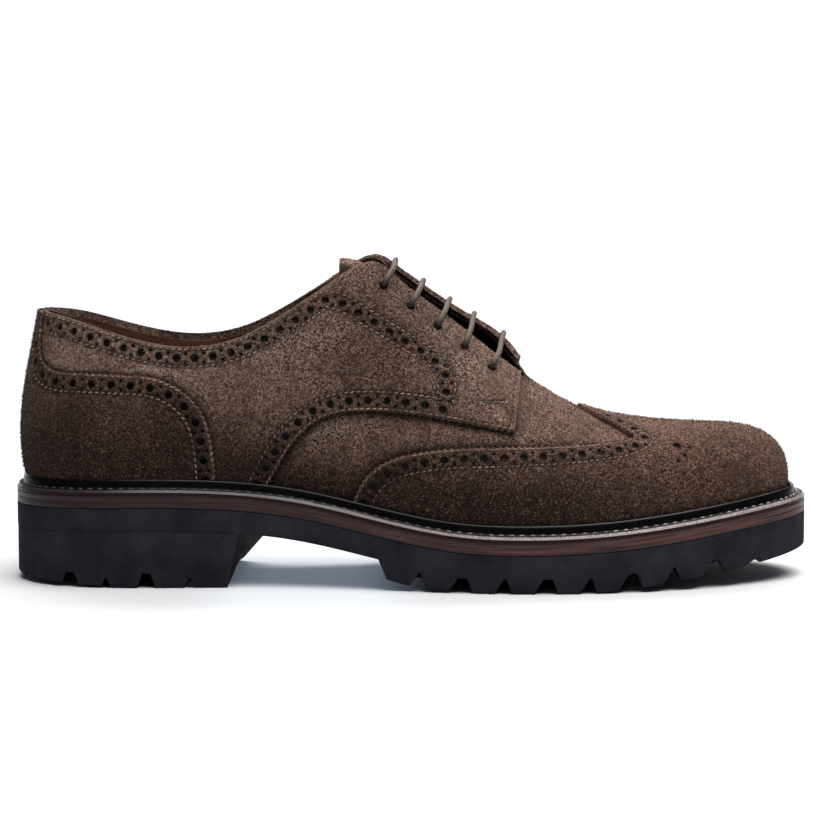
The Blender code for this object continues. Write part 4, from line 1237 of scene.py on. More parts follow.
@dataclass
class Upper:
    """Vamp, wing cap, quarters, heel counter and lining, with their brogueing and stitching."""

    last: Last
    overlay_gap: float = 0.42
    cap_thick: float = 1.2
    quarter_thick: float = 1.6
    counter_thick: float = 2.25
    counter_lap: float = 1.4
    counter_tone_and_shade: float = 0.69
    suede_thick: float = 1.1
    lining_thick: float = 0.65
    rim_step: float = 0.8
    facing_drop: float = 3.2
    slot_start: tuple[float, float] = (-15.0, -2.0)
    slot_end: tuple[float, float] = (38.0, 44.0)
    vamp_cut: float = 1.55
    lining_cut: float = 0.48
    lining_drop: float = 2.8
    stitch_sink: float = 0.15
    tack_sink: float = 0.1
    tack_pitch: float = 1.5
    tooth_pitch: float = 2.3
    tooth_depth: float = 0.75
    row_inset: float = 4.3
    seam_spread: float = 3.2
    pin_spread: float = 1.65
    hole_radius: float = 1.56
    pin_radius: float = 0.62
    hole_pitch: float = 7.55
    notch_row: float = -0.75
    notch_start: float = 1.2
    notch_pitch: float = 1.6
    notch_radius: float = 0.52
    notched_run: float = 17.0
    medallion_radius: float = 0.8
    eyelet_radius: float = 1.75
    eyelet_top: Spot = Spot(-11.8, 112.5)
    eyelet_low: Spot = Spot(29.6, 81.3)
    eyelet_count: int = 5
    foot_steps: int = 220
    ridge_steps: int = 70
    far_eyelet_shift: Spot = Spot(2.8, -2.0)
    wing_edge: tuple[Spot, ...] = table_of(
        Spot, (-23, 31), (-19.2, 40), (-11.8, 47.3), (0.8, 51.7), (20.9, 53.7), (53.6, 53.6), (73.7, 53.7),
        (80.0, 54.1), (84.9, 55.4),
    )
    wing_peak_share: float = 0.637
    quarter_edge: tuple[Spot, ...] = table_of(
        Spot, (-55, 37), (-51.2, 44.1), (-44.3, 55), (-34.2, 63.8), (-18.8, 66.9), (0.6, 65.6),
        (23.7, 61.6), (38.2, 58.7),
    )
    facing_end: float = 40.2
    counter_edge: tuple[Spot, ...] = table_of(
        Spot, (-74.2, 38), (-75.8, 56.4), (-78.8, 65.9), (-86.3, 74.4), (-96.4, 79.2), (-111.4, 80.5),
        (-128, 80.9), (-135.6, 81.8), (-139.2, 84.4), (-140.6, 89), (-140.6, 95.5), (-139.9, 102),
    )
    # The row of holes down the facing, in front of the collar's row
    collar_row_end: float = -32.5
    facing_row: tuple[Spot, ...] = table_of(
        Spot, (-24.8, 106.0), (-11.7, 97.8), (1.3, 89.9), (9.0, 84.2), (12.6, 78.5), (12.5, 73.0),
        (11.4, 67.5),
    )
    bar_tack: tuple[Spot, ...] = (Spot(27.0, 69.6), Spot(31.0, 69.3), Spot(35.4, 68.9))
    # Toe medallion on each side of the ridge: one large hole and pinholes round it
    medallion_holes: tuple[Spot, ...] = (Spot(100.8, 51.9),)
    medallion_pins: tuple[Spot, ...] = (Spot(105.4, 51.2), Spot(103.3, 48.7), Spot(100.6, 46.9))

    def __post_init__(self) -> None:
        """Draws the seam lines on the last."""
        last = self.last
        side = last.drawn(self.wing_edge)
        side[0, 1] = 0
        peak = np.array([(self.wing_peak_share, 1.0)])
        self.wing = DrawnLine(last, np.concatenate([peak, side[::-1]])).softened(1.6)
        low = last.drawn(self.quarter_edge)
        low[0, 1] = 0
        self.low = DrawnLine(last, low)
        side = last.drawn(self.counter_edge)
        side[0, 1] = 0
        side[-1, 1] = 1
        self.counter = DrawnLine(last, side)
        start, end = float(last.share_at(self.facing_end)), float(self.counter.places[-1, 0])
        share = np.linspace(start, end, 400)
        slot = self.slot_drop(share)
        self.top = DrawnLine(last, np.stack([share, np.ones(400)], -1))
        self.rim = DrawnLine(last, self.lowered(share, self.rim_step * (1 - slot / self.facing_drop) + slot))
        self.front = DrawnLine(last, np.array([self.low.places[-1], self.rim.places[0]]))
        eyelets = np.linspace(self.eyelet_top, self.eyelet_low, self.eyelet_count)
        self.eyelets = last.locate(eyelets)
        self.far_eyelets = medial_side(last.locate(eyelets + np.array(self.far_eyelet_shift)))
        self.stitching = Stitching("upper_stitching", Thread())
        self.backed: list[Punch] = []
        self.napped: list[tuple[Array, Array, Array]] = []

    def slot_drop(self, share: Array) -> Array:
        """How far the facings are cut back from the lacing edge, fading out at the collar and the throat."""
        x = self.last.length_at(share)
        return self.facing_drop * ramp(x, *self.slot_start) * (1 - ramp(x, *self.slot_end))

    def lowered(self, share: Array, drop: Array) -> Array:
        """Places at a distance below the top edge."""
        top = np.stack([share, np.ones_like(share)], -1)
        return np.stack([share, 1 - drop / np.linalg.norm(self.last.steps(top)[1], axis=-1)], -1)

    def both(self, places: Array) -> Array:
        """Places of the lateral side with the same ones on the medial side."""
        return np.concatenate([places, medial_side(places)])

    def brogue(self, row: DrawnLine, pitch: float, start: float = 0.0, end: float = 0.0) -> list[Punch]:
        """Large holes along a row, with a pair of pinholes between each two.

        Args:
            row: The line through the large holes.
            pitch: About how far apart they are.
            start: Distance of the first from the row's start.
            end: Distance of the last from the row's end.

        Returns:
            The large holes and the pinholes.
        """
        count = max(1, round((row.length - start - end) / pitch))
        run = np.linspace(start, row.length - end, count + 1)
        between = (run[1:] + run[:-1]) / 2
        away = self.pin_spread * row.sideways(between)
        pins = np.concatenate([row.at(between) - away, row.at(between) + away])
        return [Punch(row.at(run), self.hole_radius, 16), Punch(pins, self.pin_radius, 8)]

    def sew_row(self, row: DrawnLine, level: float) -> list[DrawnLine]:
        """Sews the two rows of stitches beside a row of holes, and returns their lines."""
        seams = [row.inset(self.seam_spread), row.inset(-self.seam_spread)]
        for seam in seams:
            self.stitching.sew(seam, level)
        return seams

    def add(self, panel: Panel, name: str, stands_for: Sequence[str]) -> None:
        """Builds a suede panel, and keeps its outer face for the nap and its holes for their near-black
        backing, which also paints the shade in them.
        """
        self.napped.append(panel.build(name, Suede(), stands_for))
        low, high = self.pin_radius, self.eyelet_radius
        self.backed += [punch for punch in panel.punches if low <= punch.radius < high]

    def foot(self, start: float, end: float) -> Array:
        """Places along the foot between two ways, leaving out both ends."""
        count = int(abs(end - start) * self.foot_steps)
        return np.stack([np.linspace(start, end, count + 2)[1:-1], np.zeros(count)], -1)

    def ridge(self, start: float) -> Array:
        """Places along the ridge, from a share on the medial side to the toe and back on the lateral one."""
        share = np.linspace(start, 1, self.ridge_steps)
        ways = np.concatenate([2 - share, share[-2::-1]])
        return np.stack([ways, np.ones_like(ways)], -1)

    def make_vamp(self) -> None:
        """The upper's main leather, which shows on the vamp, and its lining."""
        last = self.last
        share = np.linspace(0, last.throat_share, 260)[1:]
        rim = self.lowered(share, self.vamp_cut * self.slot_drop(share))
        back = np.stack([np.zeros(30), np.linspace(0, 1, 32)[1:-1]], -1)
        foot = np.concatenate([[(0.0, 0.0)], self.foot(0, 2), [(2.0, 0.0)]])
        eyelets = [Punch(np.concatenate([self.eyelets, self.far_eyelets]), self.eyelet_radius + 0.3, 20)]
        behind = self.wing.inset(self.notch_row)
        run = np.arange(self.notch_start, self.notched_run, self.notch_pitch)
        notches = Punch(self.both(behind.at(run)), self.notch_radius, 8)
        rims = [DrawnLine(last, rim[::-1]), DrawnLine(last, medial_side(rim))]
        # The edges lapped over the vamp press troughs into it, and painted shadow darkens it beside them
        lapped = [self.wing, self.low, self.front]
        sewn = lapped + [line.mirrored() for line in lapped]
        lowered = self.lowered(share, self.lining_drop + self.lining_cut * self.slot_drop(share))
        loops = []
        for edge, top in ((rim, 1.0), (lowered, float(lowered[0, 1]))):
            seam = back * (1.0, top)
            loops.append(np.concatenate([
                foot, seam + (2.0, 0.0), [(2.0, top)], medial_side(edge)[:-1], self.ridge(last.throat_share),
                edge[-2::-1], [(0.0, top)], seam[::-1],
            ]))
        # The vamp is darkened by painted shade towards the sole, a little more at the front
        panel = Panel(last, loops[0], -self.suede_thick, 0.0, [*eyelets, notches], [], sewn + rims,
                      (0.0, 0.15), fade=(4.0, 32.0), seam_depth=0.45, seam_width=1.8, columns=170, rows=40)
        self.add(panel, "vamp_suede", ("upper",))
        level = -self.suede_thick - 0.05
        # The lining is blackened by painted shade, most at the front under the facings and towards the sole
        lining = Panel(last, loops[1], level - self.lining_thick, level, eyelets, dark=(0.35, 1.0),
                       columns=110, rows=26)
        lining.build("collar_lining", LiningLeather())

    def make_wing_cap(self) -> None:
        """Toe cap with wings along both sides, its punched row and the medallion on the toe."""
        last, level = self.last, self.overlay_gap + self.cap_thick
        medial = self.wing.mirrored()
        edges = [self.wing.gimped(self.tooth_pitch, self.tooth_depth)]
        edges[0][0], edges[0][-1] = self.wing.places[0], self.wing.places[-1]
        edges.append(medial_side(edges[0][::-1]))
        foot = self.foot(self.wing.places[-1, 0], medial.places[0, 0])
        loop = np.concatenate([foot, edges[1], self.ridge(self.wing_peak_share)[1:-1], edges[0]])
        seams = []
        row = self.wing.inset(self.row_inset)
        for line in (row, row.mirrored()):
            seams += self.sew_row(line, level - self.stitch_sink)
        holes, pins = self.brogue(row, self.hole_pitch, 2.0, 3.0)
        large, small = last.locate(self.medallion_holes), last.locate(self.medallion_pins)
        punches = [
            Punch(self.both(np.concatenate([holes.centres, large])), self.hole_radius, 16),
            Punch(self.both(pins.centres), self.pin_radius, 8),
            Punch(self.both(small), self.medallion_radius, 8),
        ]
        # Painted shade darkens the cut faces of the wing's edges
        panel = Panel(last, loop, self.overlay_gap, level, punches, edges, seams, raw_edges=edges,
                      edge_shade=0.7, lift=-0.7)
        self.add(panel, "wing_cap_suede", ("wing_cap",))

    def make_quarters(self) -> None:
        """Quarters with their facings: a row along collar and facing, and one along the lower edge."""
        last, level = self.last, self.overlay_gap + self.quarter_thick
        lap = self.counter.inset(self.counter_lap)
        top, front = self.rim, self.front
        collar = self.top.inset(self.rim_step + self.row_inset).before(self.collar_row_end)
        facing = last.drawn(self.facing_row)
        upper_row = DrawnLine(last, np.concatenate([facing[::-1], collar.places])).softened(1.2)
        low_row = self.low.inset(self.row_inset).before(self.facing_row[-1].x)
        punches = self.brogue(upper_row, self.hole_pitch - 0.6, 0.0, 4.0)
        lower = self.brogue(low_row, self.hole_pitch - 0.5, 2.0, 6.5)
        punches = [
            Punch(np.concatenate([one.centres, other.centres]), one.radius, one.sides)
            for one, other in zip(punches, lower)
        ]
        tack = DrawnLine(last, last.locate(self.bar_tack))
        low_edge = self.low.gimped(self.tooth_pitch, self.tooth_depth)
        low_edge[0], low_edge[-1] = self.low.places[0], self.low.places[-1]
        front_row = front.inset(1.5).part(1.0, front.length - 1.5)
        loop = np.concatenate([
            self.foot(lap.places[0, 0], self.low.places[0, 0]), low_edge, front.every(1.2)[1:-1],
            top.every(1.2), lap.every(1.5)[::-1],
        ])
        edges = [low_edge, front.places, top.places, top.before(-16.0).places]
        rows = [upper_row.inset(self.seam_spread), upper_row.inset(-self.seam_spread),
                low_row.inset(self.seam_spread), self.low.inset(1.1), front_row, tack]
        lapped = [self.counter, self.counter.mirrored()]
        for side, name in ((Side.LATERAL, "quarter_lateral"), (Side.MEDIAL, "quarter_medial")):
            seams, sides, holes, outline = rows, edges, punches, loop
            eyelets = self.eyelets
            if side is Side.MEDIAL:
                seams = [row.mirrored() for row in rows]
                sides = [medial_side(edge)[::-1] for edge in edges]
                holes = [Punch(medial_side(punch.centres), punch.radius, punch.sides) for punch in punches]
                outline = medial_side(loop)[::-1]
                eyelets = self.far_eyelets
            holes = holes + [Punch(eyelets, self.eyelet_radius, 24)]
            for seam in seams[:-1]:
                self.stitching.sew(seam, level - self.stitch_sink)
            self.stitching.sew(seams[-1], level - self.tack_sink, self.tack_pitch)
            seams = seams + [lapped[side is Side.MEDIAL]]
            # Painted shade darkens the quarter in its hollow, towards the sole and on its cut faces; painted
            # shadow lies along its lower edge
            panel = Panel(last, outline, self.overlay_gap, level, holes, sides[:3], seams, hollow_shade_amount=0.55,
                          fade=(8.0, 42.0), raw_edges=[sides[0], sides[1], sides[3]], edge_shade=0.95,
                          dark_edges=[sides[0]], lift=-0.7)
            self.add(panel, name + "_suede", (name,))

    def make_heel_counter(self) -> None:
        """Counter round the heel, lapped over the quarters, with its back strip up to the collar."""
        last, level = self.last, self.overlay_gap + self.counter_thick
        edge = self.counter.gimped(self.tooth_pitch, self.tooth_depth)
        end = self.counter.places[-1, 0]
        top = self.lowered(np.array([end]), self.rim_step)
        edge = np.concatenate([self.counter.places[:1], edge[1:][edge[1:, 1] < top[0, 1] - 0.008], top])
        turned = edge[::-1] * (-1, 1)
        rim = np.stack([np.linspace(end, -end, 10)[1:-1], np.full(8, top[0, 1])], -1)
        foot = self.foot(-edge[0, 0], edge[0, 0])
        loop = np.concatenate([foot, edge, rim, turned])
        row = self.counter.inset(self.row_inset)
        mirror = DrawnLine(last, row.places[::-1] * (-1, 1))
        seams = self.sew_row(row, level - self.stitch_sink) + self.sew_row(mirror, level - self.stitch_sink)
        punches = [Punch(np.concatenate([punch.centres, punch.centres * (-1, 1)]), punch.radius, punch.sides)
                   for punch in self.brogue(row, self.hole_pitch, 3.0, 14.0)]
        edges = [edge, turned, np.concatenate([edge[-1:], rim, turned[:1]])]
        # The counter's even darkness is partly its own tone and partly painted shade
        dark = (self.counter_tone_and_shade, self.counter_tone_and_shade)
        panel = Panel(last, loop, self.overlay_gap, level, punches, edges, seams, dark, raw_edges=edges,
                      lift=1.7)
        self.add(panel, "heel_counter_suede", ("heel_counter",))

    def make_backing(self) -> None:
        """Discs of near-black cloth at the bottom of every punched hole: a backing that also stands for the
        shade inside the hole.
        """
        points, faces, count = [], [], 0
        for punch in self.backed:
            ring = punch.grown(self.last, 0.3)
            level = np.full(ring.shape[:2], 0.2)
            points.append(self.last.raised(ring, level).reshape(-1, 3))
            faces.append(count + np.arange(len(points[-1])).reshape(-1, punch.sides))
            count += len(points[-1])
        make_piece("brogue_backing", np.concatenate(points), faces, BackingAndHoleShade())

    def build(self) -> None:
        """Makes every piece of the upper."""
        self.make_vamp()
        self.make_wing_cap()
        self.make_quarters()
        self.make_heel_counter()
        self.make_backing()
        self.stitching.build()


@dataclass
class Nap:
    """Loose fibres of the suede that stand off its outer faces: one slim triangle each."""

    fibres: int = 170_000
    length: tuple[float, float] = (0.8, 1.7)
    width: float = 0.24
    stand: tuple[float, float] = (0.05, 0.5)
    brushed: tuple[float, float, float] = (-0.35, 0.0, -0.25)
    upright_share: float = 0.24
    upright_stand: float = 2.2
    upright_length: float = 0.85
    shade_share: float = 0.95
    tone_power: tuple[float, float] = (1.35, 4.6)
    seed: int = 11

    def build(self, skins: Sequence[tuple[Array, Array, Array]]) -> None:
        """Scatters the fibres by area, each leaning its own way.

        Args:
            skins: Points and triangles of the outer faces, and how much painted shade darkens each point.
        """
        rng = np.random.default_rng(self.seed)
        corners = np.concatenate([points[triangles] for points, triangles, _ in skins])
        burnish = np.concatenate([dark[triangles[:, 0]] for _, triangles, dark in skins])
        cross = np.cross(corners[:, 1] - corners[:, 0], corners[:, 2] - corners[:, 0])
        area = np.linalg.norm(cross, axis=-1)
        chosen = rng.choice(len(corners), self.fibres, p=area / area.sum())
        parts = np.sort(rng.random((self.fibres, 2)), axis=1)
        weights = np.stack([parts[:, 0], parts[:, 1] - parts[:, 0], 1 - parts[:, 1]], -1)
        roots = (corners[chosen] * weights[..., None]).sum(1)
        outward = unit(cross[chosen])
        lean = rng.normal(size=(self.fibres, 3)) + self.brushed
        lean = unit(lean - (lean * outward).sum(-1, keepdims=True) * outward)
        stand = rng.uniform(*self.stand, (self.fibres, 1))
        upright = rng.random((self.fibres, 1)) < self.upright_share
        stand += self.upright_stand * upright
        length = rng.uniform(*self.length, (self.fibres, 1)) * np.where(upright, self.upright_length, 1.0)
        heading = unit(lean + stand * outward)
        half = self.width / 2 * unit(np.cross(heading, outward))
        tips = roots + length * heading
        points = np.stack([roots - half, roots + half, tips], 1)
        # Painted shade makes the fibres darker and fewer of them light
        dark = burnish[chosen]
        plain, in_shade = self.tone_power
        tone = rng.random(self.fibres) ** (plain + in_shade * dark) * (1 - self.shade_share * dark ** 4)
        faces = [np.arange(3 * self.fibres).reshape(-1, 3)]
        marks = {"tone": np.repeat(tone, 3)}
        make_piece("suede_nap", points.reshape(-1, 3), faces, SuedeNap(), marks=marks, sharp=180.0)


# Tongue and lace

class TongueRow(NamedTuple):
    """Middle of the tongue's top face, its half-width and its crown across."""

    x: float
    z: float
    half_width: float
    crown: float


@dataclass
class Tongue:
    """Suede tongue under the lacing, crowned across and a little higher on the medial side."""

    thick: float = 1.8
    tilt: float = 0.10
    columns: int = 90
    rows: int = 41
    edge_round: float = 0.7
    lines: tuple[TongueRow, ...] = table_of(
        TongueRow, (-28, 123.8, 15.5, 0.070), (-13, 119.4, 17, 0.078), (-4, 113.7, 17, 0.078),
        (20, 95.2, 16.5, 0.078), (41, 77.2, 15, 0.060), (57, 66.6, 13, 0.035),
    )

    def __post_init__(self) -> None:
        """Makes the smooth curve of the table."""
        table = np.array(self.lines)
        run = running_length(table[:, :2])
        self.curve = Spline(run / run[-1], table)

    def face(self, along: Array, side: Array) -> Array:
        """Top face: x and z of the middle line, lowered by the crown times the square of y, and tilted."""
        x, z, half_width, crown = np.moveaxis(self.curve(along), -1, 0)
        y = side * half_width
        return np.stack([x, y, z + self.tilt * y - crown * y * y], -1)

    def build(self) -> tuple[Array, Array, Array]:
        """Makes the tongue, thinned at its rim and darkened by painted shade under the lacing, and returns
        its top face for the nap.
        """
        along = np.repeat(np.linspace(0, 1, self.columns), self.rows)
        side = np.tile(np.linspace(-1, 1, self.rows), self.columns)
        lengthwise = self.face(along + STEP, side) - self.face(along - STEP, side)
        outward = unit(np.cross(lengthwise, self.face(along, side + STEP) - self.face(along, side - STEP)))
        top = self.face(along, side)
        faces = grid_faces(self.columns, self.rows)
        rim = np.unique(rim_edges(faces))
        to_rim = nearest(top, top[rim])
        fall = self.edge_round * np.exp(-to_rim / 0.6)
        outer = top - fall[:, None] * outward
        inner = top - (self.thick - 0.5 * fall)[:, None] * outward
        count = len(top)
        raw = 0.85 * np.exp(-to_rim / 0.5)
        # Painted shade under the lacing and along the tongue's lateral half
        pressed = np.maximum(ramp(top[:, 0], -22.0, -14.0), 0.9 * ramp(-side, 0.24, 0.42))
        pressed = np.tile(pressed, 2)
        marks = {"raw_edge": np.tile(raw, 2) * (1 - pressed), "pressed": pressed, "burnish": pressed}
        walls = shell_faces(faces, count)
        make_piece("tongue_suede", np.concatenate([outer, inner]), walls, Suede(), ("tongue",), marks)
        return outer, np.concatenate([faces[:, [0, 1, 2]], faces[:, [0, 2, 3]]]), pressed[:count]


class LaceStop(NamedTuple):
    """An eyelet that the cord goes through: its row and side, and the eyelet that it then passes inside."""

    row: int
    side: Side
    passed_row: int | None = None
    passed_shift: float = 0.0


@dataclass
class Lacing:
    """One round cord in straight bars over the facings, through the eyelets and along behind the facings."""

    upper: Upper
    radius: float = 1.1
    far_forward: tuple[float, ...] = (5.0, 5.2, 5.3, 4.2, 3.6)
    crest: float = 0.5
    pass_by: float = 2.9
    press: float = 0.35
    seat: float = 0.6
    inside_wall: float = 1.8
    inside_clear: float = 0.6
    spacing: float = 0.28
    sides: int = 24
    strands: int = 6
    braid_pitch: float = 3.2
    braid_depth: float = 0.06

    def route(self) -> tuple[LaceStop, ...]:
        """The eyelets in the order in which the cord meets them."""
        lateral, medial, past = Side.LATERAL, Side.MEDIAL, self.pass_by
        return (
            LaceStop(0, medial),
            LaceStop(0, lateral, 1, -past),
            LaceStop(2, lateral),
            LaceStop(2, medial, 3, -past),
            LaceStop(4, medial),
            LaceStop(4, lateral),
            LaceStop(3, lateral),
            LaceStop(3, medial, 2, past),
            LaceStop(1, medial),
            LaceStop(1, lateral),
        )

    def place(self, row: int, side: Side) -> Array:
        """Place of the cord in an eyelet, against its upper side."""
        place = (self.upper.eyelets if side is Side.LATERAL else self.upper.far_eyelets)[row]
        return place + (0, self.seat / np.linalg.norm(self.upper.last.steps(place)[1]))

    def edge(self, x: float, side: Side) -> Array:
        """Place on the edge of a facing at a length."""
        share = self.upper.last.share_at(x)[None]
        place = self.upper.lowered(share, self.upper.slot_drop(share))
        return (place if side is Side.LATERAL else medial_side(place))[0]

    def crossings(self, row: int) -> dict[Side, Array]:
        """Places where a bar crosses the facings' edges, in line with its eyelet when seen from the side."""
        last = self.upper.last
        start = last.skin(self.upper.eyelets[row])
        lean = self.far_forward[row]
        far = self.edge(start[0] + lean, Side.MEDIAL)
        forward = 0.6 * lean
        for _ in range(4):
            near = self.edge(start[0] + forward, Side.LATERAL)
            rise = (last.skin(near)[2] - start[2]) / (last.skin(far)[2] - start[2])
            forward = lean * float(rise)
        return {Side.LATERAL: near, Side.MEDIAL: far}

    def point(self, place: Array, raise_by: float) -> Array:
        """Point at a level over the last, without its creases."""
        last = self.upper.last
        return last.skin(place) + raise_by * last.normal(place[None])[0]

    def bend(self, place: Array, goal: Array, level: float) -> list[Array]:
        """From the middle of an eyelet out to a run at a level, headed for a goal."""
        last = self.upper.last
        step = (goal - place) / np.linalg.norm(last.skin(goal) - last.skin(place))
        return [
            self.point(place, 0.25 * level),
            self.point(place + 0.5 * step, 0.86 * level),
            self.point(place + 2.2 * step, level),
        ]

    def beside(self, row: int, side: Side, shift: float) -> Array:
        """Place a little above or below an eyelet."""
        place = self.place(row, side)
        return place + (0, shift / np.linalg.norm(self.upper.last.steps(place)[1]))

    def path(self) -> Array:
        """Points of the cord's middle line on a smooth curve through its route."""
        over = self.upper.overlay_gap + self.upper.quarter_thick + self.radius - self.press
        under = -(self.inside_wall + self.inside_clear + self.radius)
        stops = self.route()
        first = self.place(stops[0].row, stops[0].side)
        points = [self.point(first, under), self.point(first, 0.4 * under)]
        for index, (stop, following) in enumerate(zip(stops, stops[1:])):
            here, there = self.place(stop.row, stop.side), self.place(following.row, following.side)
            if index % 2 == 0:
                crossings = self.crossings(stop.row)
                edges = [crossings[stop.side], crossings[following.side]]
                points += self.bend(here, edges[0], over)
                near, far = (self.point(edge, over) for edge in edges)
                points += [near, (near + far) / 2 + (0, 0, self.crest), far]
                points += self.bend(there, edges[1], over)[::-1]
            elif stop.passed_row is None:
                points += self.bend(here, there, under) + self.bend(there, here, under)[::-1]
            else:
                passed = self.beside(stop.passed_row, stop.side, stop.passed_shift)
                points += self.bend(here, passed, under) + [self.point(passed, under)]
                points += self.bend(there, passed, under)[::-1]
        end = self.beside(0, stops[-1].side, self.pass_by)
        points += self.bend(self.place(stops[-1].row, stops[-1].side), end, under) + [self.point(end, under)]
        run = running_length(np.array(points))
        return Spline(run, np.array(points))(np.linspace(0, run[-1], round(run[-1] / self.spacing)))

    def build(self) -> None:
        """Makes the cord: rings about the path, lifted where two strands of the braid cross on top."""
        path = self.path()
        heading = unit(np.gradient(path, axis=0))
        across = np.zeros_like(path)
        across[0] = unit(np.cross(heading[0], (0.3, 0.5, 0.8)))
        for i in range(1, len(path)):
            across[i] = unit(across[i - 1] - heading[i] * (across[i - 1] @ heading[i]))
        turn = np.arange(self.sides) * 2 * math.pi / self.sides
        run = running_length(path)[:, None] * 2 * math.pi / self.braid_pitch
        braid = np.cos(self.strands * turn / 2 + run) * np.cos(self.strands * turn / 2 - run)
        reach = (self.radius - self.braid_depth + self.braid_depth * braid)[..., None]
        other = np.cross(heading, across)
        around = np.cos(turn)[:, None] * across[:, None] + np.sin(turn)[:, None] * other[:, None]
        points = path[:, None] + reach * around
        faces = grid_faces(len(path), self.sides, wrap_rows=True)[:, ::-1]
        ring = np.arange(self.sides)
        ends = np.stack([ring[::-1], ring + (len(path) - 1) * self.sides])
        eyelets = self.upper.last.skin(np.concatenate([self.upper.eyelets, self.upper.far_eyelets]))
        # Painted shade darkens the cord near the eyelets, and the braid's hollows are darker as painted shade
        clear_of_painted_shade = 0.15 + 0.85 * ramp(nearest(path, eyelets), 2.6, 6.2)
        make_piece("waxed_lace", points.reshape(-1, 3), [faces, ends], WaxedCord(), ("lace",),
                   {"crown": ((0.5 + 0.5 * braid) * clear_of_painted_shade[:, None]).ravel()}, weld=True, sharp=60.0)
        LOG.info("lace length in place: %.0f mm", running_length(path)[-1])


# Sole

class SoleLayer:
    """A layer of the sole as a loft: one closed ring of corners across it for each share of its length."""

    def __init__(self, last: Last) -> None:
        """Keeps the last."""
        self.last = last

    def across(self, share: Array, inset: Array, part: Array) -> Array:
        """Plan points at parts of the way across, from the lateral edge (0) to the medial one (1)."""
        lateral = self.last.sole_edge(share, inset)
        medial = self.last.sole_edge(2 - share, inset)
        return lateral + np.asarray(part)[..., None] * (medial - lateral)

    def loft(self, share: Array, part: Array, inset: Array, height: Array) -> tuple[Array, Array]:
        """Corners and quads of a loft.

        Args:
            share: Share of each ring, in a column.
            part: Parts across of a ring's corners.
            inset: Insets of the corners.
            height: Heights of the corners.

        Returns:
            Points ring by ring, and quads.
        """
        share, part, inset, height = np.broadcast_arrays(share, part, inset, height)
        points = np.concatenate([self.across(share, inset, part), height[..., None]], -1)
        return points.reshape(-1, 3), grid_faces(*share.shape, wrap_rows=True)

    def columns(self, spacing: float, *corners: Array) -> Array:
        """Shares at about a spacing from heel to toe, with those of given corner lengths, in a column."""
        even = np.linspace(0, 1, round(self.last.length * 1.25 / spacing))
        share = np.concatenate([even, *(self.last.share_at(corner) for corner in corners)])
        return np.unique(np.round(np.clip(share, 0, 1), 5))[:, None]


def groove(x: Array, centre: float, half_mouth: float, half_floor: float, soft: float = 0.35,
           skew: float = 0.0) -> Array:
    """Depth share of a groove, 1 on its floor and 0 outside its mouth: the lesser of its walls' two slants.

    Args:
        x: Lengths along the shoe.
        centre: Middle of the mouth.
        half_mouth: Half its width.
        half_floor: Half the floor's width.
        soft: How far its corners are softened.
        skew: How much longer the rear wall's slant is than the front one's.

    Returns:
        One share for each length.
    """
    slant = half_mouth - half_floor
    depth = []
    for shift in (-soft, 0.0, soft):
        away = x + shift - centre
        walls = np.minimum((half_mouth + away) / (1 + skew), (half_mouth - away) / (1 - skew))
        depth.append(np.clip(walls / slant, 0, 1))
    return (depth[0] + 2 * depth[1] + depth[2]) / 4


class Cut(NamedTuple):
    """A groove across the tread: its middle, half-widths at mouth and floor, and depth."""

    x: float
    half_mouth: float
    half_floor: float
    depth: float


